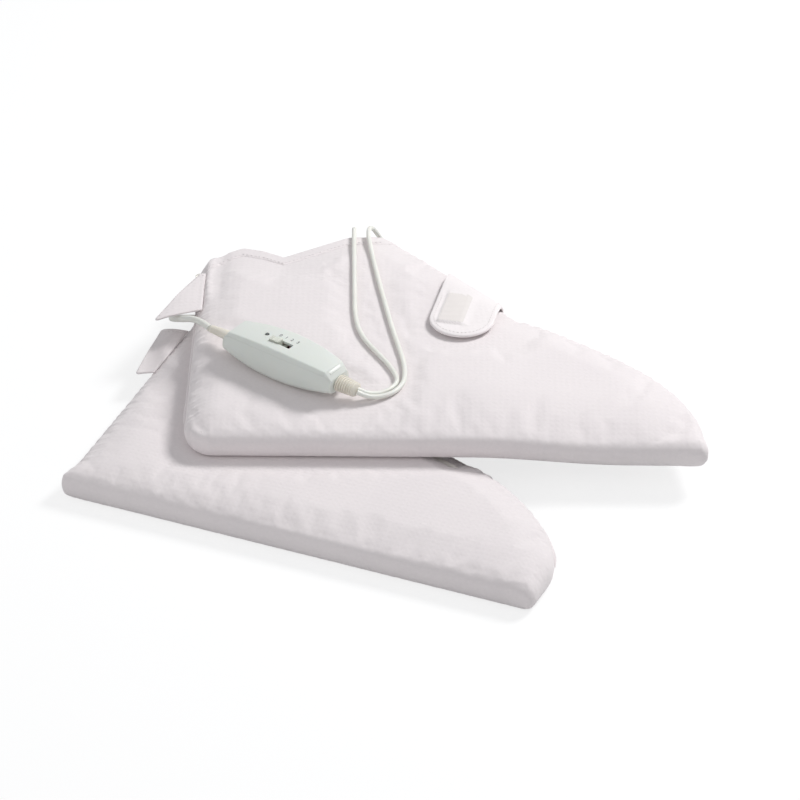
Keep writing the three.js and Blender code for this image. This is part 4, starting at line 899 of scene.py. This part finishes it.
# Smooth woven tape: flatter and a little greyer than the brushed cloth round it
woven_tape, tree, shader = new_material("woven_polyester_tape", Roughness=0.72, Sheen_Weight=0.15)
where = add_node(tree, "ShaderNodeTexCoord").outputs["Object"]
ribs = add_node(tree, "ShaderNodeTexWave", {"Vector": where, "Scale": 1000 / (1.1 * 20),
                "Distortion": 1.2, "Detail": 2}, wave_type="BANDS", bands_direction="Y")
clouded(tree, shader, where, 18, 3, ("#E0DAD7", "#EBE5E2"))
uneven(tree, shader, ribs.outputs["Fac"], 0.2, 0.3)

strap_cloth = brushed_polyester("brushed_polyester_strap", 0.1, "#F7F1F1", "#EFE9E9")
upper, lower = boots
straps = [("upper_boot_instep_tab", upper, over_edge, (29.1, 30.9), "upper_strap", True),
          ("lower_boot_instep_tab", lower, under_edge, (2.1, 0.3), "boots_and_controller", False)]
for name, boot, profile, ends, body, above in straps:
    base, along, across, _ = strap_lines(boot)
    if not above:
        margin = 26
        outline = [base + across * side * margin - along * (30 + 8 * side) for side in (-1, 1)]
        outline += [base + along * strap_straight + (across * math.cos(t) + along * math.sin(t)) * margin
                    for t in (math.pi * k / 16 for k in range(17))]
        cut_away(covers[boot.name], prism("recess_cutter", boot, outline, -5, 3.9))
    tab = strap_tab(name, boot, profile, ends, (strap_cloth, woven_tape))
    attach(tab, body)
    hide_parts(f"{boot.name}_instep_strap")
    sewn_at = 20.6
    edge = [base + across * sewn_at + along * mix(14, strap_straight, k / 20) for k in range(21)]
    edge += [base + along * strap_straight + (across * math.cos(t) + along * math.sin(t)) * sewn_at
             for t in (math.pi * k / 30 for k in range(1, 30))]
    edge += [base - across * sewn_at + along * mix(strap_straight, 30, k / 12) for k in range(13)]
    stitches(f"{name}_stitches", boot, tab, edge, above, 3, thread, body)


# Hook and loop tape: a woven base with rows of bent nylon hooks, or with a tangle of soft loops. The
# squares close the instep straps and the strips close the flaps behind the legs.
nylon, tree, shader = new_material("woven_nylon_hook_tape", Roughness=0.55, IOR=1.53, Sheen_Weight=0.2)
where = add_node(tree, "ShaderNodeTexCoord").outputs["Object"]
weave = clouded(tree, shader, where, 0.8, 3, ("#DEDBD9", "#F1EFED"))
uneven(tree, shader, weave, 0.3, 0.3)


def touch_tape(node, boot, centre, along, sizes, low, high, up, looped, body):
    side = 1 if up else -1
    height = (high - low) * 0.42
    bpy.ops.object.select_all(action="DESELECT")
    bpy.ops.mesh.primitive_cube_add(size=1)
    tape = bpy.context.object
    tape.name = tape.data.name = node + "_tape"
    tape.data.transform(Matrix.Translation((0, 0, (low if up else high) + side * height / 2))
                        @ Matrix.Diagonal((*sizes, height, 1)))
    work = bmesh.new()
    work.from_mesh(tape.data)
    bmesh.ops.bevel(work, geom=work.edges, offset=0.12, segments=2, affect="EDGES")
    start = (low + height) if up else (high - height)
    tall = (high - low - height) * side
    pitch = 1.5
    columns, rows = int((sizes[0] - 2) / pitch), int((sizes[1] - 2) / pitch)
    for i in range(columns + 1):
        for j in range(rows + 1):
            x, y = (i - columns / 2) * pitch, (j - rows / 2) * pitch
            turn = (i * 37 + j * 61) % 180 if looped else 0
            run = Vector((math.cos(math.radians(turn)), math.sin(math.radians(turn))))
            flank = Vector((-run.y, run.x)) * 0.11
            wide = 0.55 if looped else 0.4
            rings = []
            for k in range(5):
                t = math.pi * k / 4 * (1 if looped else 0.86)
                ring = []
                for a, b in ((1, 1), (1, -1), (-1, -1), (-1, 1)):
                    out = wide + 0.09 * a
                    p = Vector((x, y)) - run * math.cos(t) * out + flank * b
                    level = start + tall * math.sin(t) * (out / (wide + 0.09)) - side * 0.02
                    ring.append(work.verts.new((p.x, p.y, level)))
                rings.append(ring)
            for near, far in zip(rings, rings[1:]):
                for k in range(4):
                    work.faces.new((near[k], near[(k + 1) % 4], far[(k + 1) % 4], far[k]))
            work.faces.new(list(reversed(rings[0])))
            work.faces.new(rings[-1])
    bmesh.ops.recalc_face_normals(work, faces=work.faces)
    work.to_mesh(tape.data)
    work.free()
    frame_of = Matrix(((along.x, -along.y, 0, centre.x), (along.y, along.x, 0, centre.y),
                       (0, 0, 1, 0), (0, 0, 0, 1)))
    tape.data.transform(Matrix.Scale(0.001, 4) @ boot.matrix @ frame_of)
    tape.data.materials.append(nylon)
    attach(tape, body)
    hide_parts(node)


for boot, hook, loop, up, body in ((upper, (27.9, 28.8), (26.8, 27.6), False, "upper_strap"),
                                   (lower, (2.4, 2.85), (3.15, 3.6), True, "boots_and_controller")):
    base, along, _, _ = strap_lines(boot)
    centre = base + along * 61
    touch_tape(f"{boot.name}_strap_hook_patch", boot, centre, along, (24, 24), *hook, up, False, body)
    touch_tape(f"{boot.name}_strap_loop_patch", boot, centre, along, (24, 24), *loop, not up, True,
               "boots_and_controller")


# Behind each leg a flap of doubled cloth is sewn on just inside the seam, edge-stitched and turned
# under at its tip. A strip of hook tape under it closes on the brushed cloth.
def thin_pad(name, boot, outline, height, thick, material):
    ring = []
    for a, b in zip(outline, [*outline[1:], outline[0]]):
        steps = max(1, round((b - a).length))
        ring += [a.lerp(b, k / steps) for k in range(steps)]
    closed = [*ring, ring[0]]
    low = [min(p[k] for p in ring) for k in (0, 1)]
    high = [max(p[k] for p in ring) for k in (0, 1)]
    middle = Vector(((low[0] + high[0]) / 2, (low[1] + high[1]) / 2))
    flat = list(ring)
    for depth in (0.15, 0.45, 0.9):
        flat += [p + (middle - p).normalized() * depth for p in ring]
    grid = np.array([(u, v) for u in np.arange(low[0], high[0], 1.1)
                     for v in np.arange(low[1], high[1], 1.1)])
    grid = grid[within(ring, grid)]
    flat += [Vector(p) for p in grid[edge_field(closed, grid)[0] > 1.4]]
    edges = [(k, (k + 1) % len(ring)) for k in range(len(ring))]
    places, _, faces, _, _, _ = delaunay_2d_cdt(flat, edges, [], 1, 1e-4)
    apart = edge_field(closed, np.array([tuple(p) for p in places]))[0]
    above, below = [], []
    for p, d in zip(places, apart):
        half = thick / 2 * math.sqrt(1 - (1 - min(d / 0.9, 1)) ** 2)
        half -= 0.22 * math.exp(-((d - 3.6) / 0.8) ** 2)
        above.append(boot.placed(p.x, p.y, height(p) + max(half, 0)))
        below.append(boot.placed(p.x, p.y, height(p) - max(half, 0)))
    made = two_faced(name, above, below, faces)
    made.data.materials.append(material)
    smooth_shaded(made.data)
    return made


def upper_lie(p):
    return 21.3 - 0.006 * max(0, -p.x - 8) ** 2 + 0.35 * math.sin(p.y / 7) * min(max(-p.x / 12, 0), 1)


def lower_lie(p):
    return 19.8 - 0.012 * max(0, -p.x - 2) ** 2 + 0.3 * math.sin(p.y / 8) * min(max(-p.x / 8, 0), 1)


flaps = [("upper", upper, ((5.2, 163), (5.2, 214), (1, 213.2), (-0.6, 211.4), (-28.2, 156.6), (-29.2, 154),
                           (-28.6, 152.4), (-26.6, 152.1)),
          upper_lie, (-5, 177), (22, 10.5), (19.2, 20.1)),
         ("lower", lower, ((5.2, 142), (5.2, 202), (-14, 199.8), (-15.6, 198.6), (-16, 196.4), (-8, 138.4),
                           (-7.2, 136.6), (-5.4, 136)),
          lower_lie, (-4.6, 174), (24, 10.5), (17.7, 18.6))]
for side, boot, outline, lie, centre, sizes, heights in flaps:
    outline = [Vector(p) for p in outline]
    flap = thin_pad(f"{side}_boot_back_flap", boot, outline, lie, 1.8, fabrics[boot.name])
    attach(flap, f"{side}_flap")
    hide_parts(f"{side}_boot_closure_flap")
    middle = sum(outline, Vector((0, 0))) / len(outline)
    row = [p + (middle - p).normalized() * 4.6 for p in outline[1:]]
    stitches(f"{side}_boot_flap_stitches", boot, flap, row, True, 3, thread, f"{side}_flap")
    touch_tape(f"{side}_boot_flap_hook_patch", boot, Vector(centre), Vector((0, 1)), sizes, *heights,
               False, False, f"{side}_flap")


# The hand controller is moulded in white ABS: a boat-shaped tub and a lid that fits on it with a fine
# parting line, both 2 mm thick, arched lengthways and cut off slanting at the ends.
at_controller = Matrix.Translation([c / 1000 for c in controller_place])
at_controller = at_controller @ Matrix.Rotation(controller_turn, 4, "Z")


def hard_material(name, colours, rough, grain, depth, metallic=0.0, **inputs):
    material, tree, shader = new_material(name, Metallic=metallic, **inputs)
    where = add_node(tree, "ShaderNodeTexCoord").outputs["Object"]
    cloud = clouded(tree, shader, where, 22, 4, colours)
    spread = add_node(tree, "ShaderNodeMapRange", {"Value": cloud, 3: rough - 0.04, 4: rough + 0.05})
    tree.links.new(spread.outputs[0], shader.inputs["Roughness"])
    pits = add_node(tree, "ShaderNodeTexNoise", {"Vector": where, "Scale": 1000 / grain, "Detail": 3})
    uneven(tree, shader, pits.outputs["Fac"], 0.25, depth)
    return material


# ABS from a spark-eroded mould: a very fine even grain that softens the highlights
white_abs = hard_material("moulded_white_ABS", ("#DCDFD8", "#E4E6E0"), 0.38, 0.5, 0.03, IOR=1.54,
                          Subsurface_Weight=0.04)


def start_block(name, size, centre):
    bpy.ops.object.select_all(action="DESELECT")
    bpy.ops.mesh.primitive_cube_add(size=1, location=(0, 0, 0))
    made = bpy.context.object
    made.name = made.data.name = name
    bpy.ops.object.mode_set(mode="EDIT")
    bpy.ops.mesh.select_all(action="SELECT")
    bpy.ops.transform.resize(value=[s / 1000 for s in size], center_override=(0, 0, 0))
    bpy.ops.transform.translate(value=[c / 1000 for c in centre])
    return made


def bisect_at(axis, value):
    bpy.ops.mesh.select_all(action="SELECT")
    place, normal = [0, 0, 0], [0, 0, 0]
    place[axis], normal[axis] = value / 1000, 1
    bpy.ops.mesh.bisect(plane_co=place, plane_no=normal, threshold=1e-7)


def choose(piece, test):
    bpy.ops.mesh.select_all(action="DESELECT")
    work = bmesh.from_edit_mesh(piece.data)
    for v in work.verts:
        v.select = test(v.co * 1000)
    work.select_flush_mode()
    bmesh.update_edit_mesh(piece.data)


def resize_chosen(sizes, about):
    bpy.ops.transform.resize(value=sizes, center_override=[c / 1000 for c in about])


half_long, cord_level = 49, 11.3
stations = (-44.1, -35.3, -24.5, -12.2, 0, 12.2, 24.5, 35.3, 44.1)
belly = ((0, 0.42), (0.68, 0.66), (2.6, 0.87), (5.7, 0.97), (9.5, 1.0), (16.5, 0.97), (23.45, 0.875),
         (23.55, 0.873), (26.4, 0.785), (27, 0.735))


def boat(name, low, high):
    shell = start_block(name, (98, 35, high - low), (0, 0, (low + high) / 2))
    levels = [level for level, _ in belly if low < level < high]
    for level in levels:
        bisect_at(2, level)
    for x in stations:
        bisect_at(0, x)
    for level, wide in belly:
        if low <= level <= high:
            choose(shell, lambda p: abs(p.z - level) < 0.01)
            resize_chosen((1, wide, 1), (0, 0, level))
    for x in (-half_long, *stations, half_long):
        s = x / half_long
        choose(shell, lambda p: abs(p.x - x) < 0.05)
        resize_chosen((1, 1 - 0.345 * s * s, 1 - 0.39 * s * s), (x, 0, 13.5))
    for x in (-half_long, half_long):
        choose(shell, lambda p: abs(p.x - x) < 0.05 and p.z > 13.6)
        resize_chosen((1, 1, 0.4), (x, 0, 13.5))
    work = bmesh.from_edit_mesh(shell.data)
    bpy.ops.mesh.select_all(action="DESELECT")
    for face in work.faces:
        middle = face.calc_center_median() * 1000
        flat = abs(face.normal.z) > 0.8 and abs(middle.y) < 12
        face.select = flat and (face.normal.z < 0 if low > 1 else face.normal.z > 0)
    bmesh.update_edit_mesh(shell.data)
    bpy.ops.mesh.delete(type="FACE")
    bpy.ops.object.mode_set(mode="OBJECT")
    finish_with(shell, "SOLIDIFY", thickness=0.002, offset=-1, use_even_offset=True, use_quality_normals=True)
    finish_with(shell, "BEVEL", width=0.0002, segments=2, limit_method="ANGLE", angle_limit=math.radians(24))
    return shell


lid = boat("controller_lid", 23.55, 27)
tub = boat("controller_tub", 0, 23.45)


def block_cutter(size, centre):
    cutter = start_block("cutter", size, centre)
    bpy.ops.object.mode_set(mode="OBJECT")
    return cutter


def rod_cutter(radius, depth, centre, sideways=False):
    bpy.ops.object.select_all(action="DESELECT")
    bpy.ops.mesh.primitive_cylinder_add(vertices=40, radius=radius / 1000, depth=depth / 1000)
    cutter = bpy.context.object
    turned = Matrix.Rotation(math.pi / 2, 4, "Y") if sideways else Matrix.Identity(4)
    cutter.data.transform(Matrix.Translation([c / 1000 for c in centre]) @ turned)
    return cutter


cut_away(lid, block_cutter((18.6, 5.6, 12), (-1, -3, 26)))
cut_away(lid, rod_cutter(1.7, 12, (-16.5, 0.6, 26)))
for side in (-1, 1):
    cut_away(tub, rod_cutter(3.3, 8, (side * half_long, 0, cord_level), True))
for shell, node in ((lid, "upper_housing"), (tub, "lower_housing")):
    shell.data.materials.append(white_abs)
    shell.data.transform(at_controller)
    take_up(shell)
    bpy.ops.object.shade_smooth_by_angle(angle=math.radians(20))
    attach(shell, "boots_and_controller")
    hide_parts(node)


# The slide knob is a ridged button moulded in one with the plate that slides under the lid. It stands
# at the first of its four places.
knob = start_block("slide_button", (9, 5, 7.4), (-5.5, -3, 24.9))
ridges = [-9.2 + 0.74 * k for k in range(1, 11)]
for x in ridges:
    bisect_at(0, x)
for k in range(0, 10, 2):
    choose(knob, lambda p: abs(p.x - ridges[k]) < 0.05 and p.z > 28)
    bpy.ops.transform.translate(value=(0, 0, -0.0006))
bpy.ops.object.mode_set(mode="OBJECT")
finish_with(knob, "BEVEL", width=0.00022, segments=2, limit_method="ANGLE", angle_limit=math.radians(30))
plate = start_block("button_plate", (16, 8, 1), (-5.5, -3, 23.62 - 0.5))
bpy.ops.object.mode_set(mode="OBJECT")
finish_with(plate, "BEVEL", width=0.0002, segments=2)
cut_away(knob, plate, "UNION")
knob.data.materials.append(hard_material("moulded_grey_acetal", ("#BFC2B6", "#CDCFC5"), 0.34, 0.6, 0.03,
                                         IOR=1.48))
knob.data.transform(at_controller)
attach(knob, "switch_knob")
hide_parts("slide_knob")

# Beside the slot the lid is pad-printed with the four settings, in thin grey ink
ink = hard_material("pad_printed_ink", ("#57585A", "#66676A"), 0.5, 0.4, 0.02)
for k, figure in enumerate("0123"):
    letters = bpy.data.curves.new(f"setting_{figure}", "FONT")
    letters.body = figure
    letters.size = 0.0042
    letters.extrude = 0.00003
    letters.align_x = letters.align_y = "CENTER"
    printed = bpy.data.objects.new(f"printed_setting_{figure}", letters)
    bpy.context.scene.collection.objects.link(printed)
    take_up(printed)
    bpy.ops.object.convert(target="MESH")
    printed = bpy.context.object
    x = -7 + 5.2 * k
    height = 27 - 5.3 * (x / half_long) ** 2
    printed.data.transform(at_controller @ Matrix.Translation((x / 1000, 0.0045, (height + 0.02) / 1000)))
    printed.data.materials.append(ink)
    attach(printed, "boots_and_controller")


# Both cord sleeves are soft PVC. The one for the two boot leads is ribbed, so that it bends evenly,
# and the mains cord's is a smooth taper.
def sleeve(name, rings, drop, swing):
    bpy.ops.object.select_all(action="DESELECT")
    bpy.ops.mesh.primitive_circle_add(vertices=32, radius=0.001, fill_type="NGON",
                                      rotation=(0, math.pi / 2, 0))
    made = bpy.context.object
    made.name = made.data.name = name
    bpy.ops.object.transform_apply(location=True, rotation=True, scale=True)
    bpy.ops.object.mode_set(mode="EDIT")
    bpy.ops.mesh.select_all(action="SELECT")
    x, wide, tall = rings[0]
    bpy.ops.transform.resize(value=(1, wide, tall), center_override=(0, 0, 0))
    bpy.ops.transform.translate(value=(x / 1000, 0, cord_level / 1000))
    begun, ended = rings[0][0], rings[-1][0]
    shift = Vector((0, 0))
    for near, far in zip(rings, rings[1:]):
        bpy.ops.mesh.extrude_region_move(TRANSFORM_OT_translate={"value": ((far[0] - near[0]) / 1000, 0, 0)})
        about = (far[0] / 1000, shift.x / 1000, (cord_level + shift.y) / 1000)
        bpy.ops.transform.resize(value=(1, far[1] / near[1], far[2] / near[2]), center_override=about)
        share = ease((far[0] - begun) / (ended - begun))
        moved = Vector((swing * share, -drop * share)) - shift
        bpy.ops.transform.translate(value=(0, moved.x / 1000, moved.y / 1000))
        shift += moved
    bpy.ops.mesh.select_all(action="SELECT")
    bpy.ops.mesh.normals_make_consistent(inside=False)
    bpy.ops.object.mode_set(mode="OBJECT")
    return made


ribbed = [(49.3, 5.0, 4.6)]
for k in range(8):
    x, wide = 49.9 + 1.45 * k, mix(7, 6, k / 7)
    ribbed += [(x, 5.2, 4.8), (x + 0.12, wide, wide * 0.86), (x + 0.8, wide, wide * 0.86),
               (x + 0.92, 5.1, 4.7)]
ribbed += [(61.3, 4.8, 4.3), (61.6, 4.2, 3.6)]
tapered = [(-49.3, 5.2, 3.6), (-50.2, 5.2, 3.6), (-52, 4.9, 3.55), (-56, 4.4, 3.4), (-61, 3.9, 3.25),
           (-67, 3.4, 3.1), (-72.6, 3.0, 2.95), (-73.4, 2.7, 2.7)]
sleeve_pvc = pvc_material("moulded_PVC_sleeve", ("#E0DACC", "#EAE5DA"), 0.48)
for name, rings, drop, swing, node in (("lead_sleeve", ribbed, 3.9, 4.2, "ribbed_strain_relief"),
                                       ("mains_sleeve", tapered, 4.4, 4.8, "mains_strain_relief")):
    made = sleeve(name, rings, drop, swing)
    finish_with(made, "BEVEL", width=0.00018, segments=2, limit_method="ANGLE", angle_limit=math.radians(35))
    made.data.materials.append(sleeve_pvc)
    made.data.transform(at_controller)
    bpy.ops.object.shade_smooth_by_angle(angle=math.radians(35))
    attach(made, "boots_and_controller")
    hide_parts(node)


# The mains plug is moulded on the cord: a flat two-pin body of white PVC with a waist for the fingers
plug_long = 36
plug = start_block("moulded_plug", (plug_long, 26, 13.8), (plug_long / 2, 0, 0))
waist = ((0, 0.16, 0.36), (0.3, 0.22, 0.46), (0.42, 0.5, 0.8), (0.52, 0.72, 0.94), (0.7, 0.78, 1),
         (0.94, 1, 1), (1, 0.96, 0.94))
for share, _, _ in waist[1:-1]:
    bisect_at(0, plug_long * share)
for share, wide, tall in waist:
    choose(plug, lambda p: abs(p.x - plug_long * share) < 0.05)
    resize_chosen((1, wide, tall), (plug_long * share, 0, 0))
bpy.ops.object.mode_set(mode="OBJECT")
finish_with(plug, "BEVEL", width=0.0012, segments=3, limit_method="ANGLE", angle_limit=math.radians(40))
finish_with(plug, "SUBSURF", levels=2, render_levels=2)
plug.data.materials.append(hard_material("moulded_white_PVC_plug", ("#E2E2DC", "#EBEBE6"), 0.36, 0.7, 0.03,
                                         IOR=1.53))
plug.data.transform(Matrix.Translation(plug_place / 1000) @ Matrix.Rotation(plug_turn, 4, "Z"))
smooth_shaded(plug.data)
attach(plug, "boots_and_controller")
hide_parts("plug_body")


# Draws a layer's outline in, so that it ends at least this far inside the seam
def draw_in(boot, layer, least):
    back = boot.matrix.inverted()
    places = np.array([tuple((back @ (v.co * 1000)).to_3d()) for v in layer.data.vertices])
    apart, foot, _ = edge_field([*boot.seam, boot.seam[0]], places[:, :2])
    inside = np.where(within(boot.seam, places[:, :2]), 1, -1)
    for v, place, near, gap, side in zip(layer.data.vertices, places, foot, apart, inside):
        if gap * side < least and gap > 0:
            moved = near + (place[:2] - near) / gap * side * least
            v.co = boot.placed(moved[0], moved[1], place[2])


# Between sock and wadding lie two sheets of needled felt with a flat heating tape sewn to them in
# rows. They are as soft as the boot and hang with its toe.
felt = hard_material("needled_polyester_felt", ("#D8D3CC", "#ECE8E2"), 0.93, 1.3, 0.4)
tape = hard_material("silicone_heating_tape", ("#E6E2DC", "#F0EDE8"), 0.45, 0.8, 0.05, IOR=1.42)
for boot in boots:
    for side in ("top", "bottom"):
        for part, finish, slot in (("heater", felt, "heater_felt"), ("heating_wire", tape, "white_vinyl")):
            node = f"{boot.name}_{side}_{part}"
            layer = object_of(f"{boot.name}_{side}_{'felt' if part == 'heater' else 'heating_tape'}", [], [])
            layer.data = bpy.data.objects[node].data.copy()
            layer.data.materials.clear()
            layer.data.materials.append(finish)
            draw_in(boot, layer, 6 if part == "heater" else 9)
            cut_across(boot, layer)
            boot.hang(layer)
            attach(layer, "boots_and_controller")
            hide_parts(node)

# The other pieces inside keep their solids, and get the finish of the real thing: a shrink-wrapped
# thermostat, a green board, a black switch, plated screws and brass pins with a nickel skin.
inner_finishes = [
    (hard_material("heat_shrink_sleeve", ("#2B2C30", "#3A3B40"), 0.42, 0.9, 0.08),
     ["upper_boot_thermostat", "lower_boot_thermostat"]),
    (flex_pvc, ["upper_boot_lead_grommet", "lower_boot_lead_grommet"]),
    (hard_material("glass_epoxy_board", ("#1F5A3A", "#2A6B47"), 0.35, 1.2, 0.05), ["circuit_board"]),
    (hard_material("moulded_black_nylon", ("#1C1C1E", "#27272A"), 0.45, 0.6, 0.04), ["switch_block"]),
    (hard_material("clear_polycarbonate_lens", ("#5E6462", "#747A78"), 0.12, 1.5, 0.01, IOR=1.58,
                   Transmission_Weight=0.35), ["light_pipe"]),
    (hard_material("zinc_plated_steel", ("#B9BCC0", "#C9CCD0"), 0.3, 0.5, 0.02, 1.0),
     ["housing_screw_1", "housing_screw_2"]),
    (hard_material("nickel_plated_brass", ("#C9C6BE", "#D8D5CE"), 0.24, 0.8, 0.01, 1.0),
     ["plug_pin_1", "plug_pin_2"])]
for finish, nodes in inner_finishes:
    for node in nodes:
        bpy.data.objects[node].data.materials.clear()
        bpy.data.objects[node].data.materials.append(finish)

# The table is a white sheet of paper under soft light, which the camera sees as plain white with
# the pair's faint shadow.
bpy.ops.mesh.primitive_plane_add(size=12, location=(0, 0, 0))
table_top = bpy.context.object
table_top.name = "white_table"
paper, tree, shader = new_material("white_table_paper", Roughness=0.9)
shader.inputs["Base Color"].default_value = (0.74, 0.74, 0.74, 1)
seen = add_node(tree, "ShaderNodeLightPath")
glow = add_node(tree, "ShaderNodeEmission", {"Color": (1, 1, 1, 1), "Strength": 1.18})
share = add_node(tree, "ShaderNodeMath", {0: seen.outputs["Is Camera Ray"], 1: 0.64}, operation="MULTIPLY")
both = add_node(tree, "ShaderNodeMixShader", {0: share.outputs[0], 1: shader.outputs[0], 2: glow.outputs[0]})
tree.links.new(both.outputs[0], tree.nodes["Material Output"].inputs["Surface"])
table_top.data.materials.append(paper)

world = bpy.data.worlds.new("studio")
world.use_nodes = True
bpy.context.scene.world = world
tree = world.node_tree
seen = add_node(tree, "ShaderNodeLightPath")
backdrop = add_node(tree, "ShaderNodeBackground", {"Color": (1, 1, 1, 1), "Strength": 1.0})
room = tree.nodes["Background"]
room.inputs["Color"].default_value = (0.95, 0.97, 1.0, 1)
room.inputs["Strength"].default_value = 0.4
white = add_node(tree, "ShaderNodeMath", {0: seen.outputs["Is Camera Ray"], 1: seen.outputs["Is Glossy Ray"]},
                 operation="MAXIMUM")
both = add_node(tree, "ShaderNodeMixShader",
                {0: white.outputs[0], 1: room.outputs[0], 2: backdrop.outputs[0]})
tree.links.new(both.outputs[0], tree.nodes["World Output"].inputs["Surface"])
for name, place, size, power in (("window_light", (1.05, 0.7, 1.35), 0.5, 24),
                                 ("fill_light", (-1.4, -1.6, 1.8), 2.2, 14.5)):
    data = bpy.data.lights.new(name, "AREA")
    data.size = size
    data.energy = power
    lamp = bpy.data.objects.new(name, data)
    lamp.location = place
    lamp.rotation_euler = (-Vector(place)).to_track_quat("-Z", "Y").to_euler()
    bpy.context.scene.collection.objects.link(lamp)

bpy.context.scene.view_settings.view_transform = "Standard"
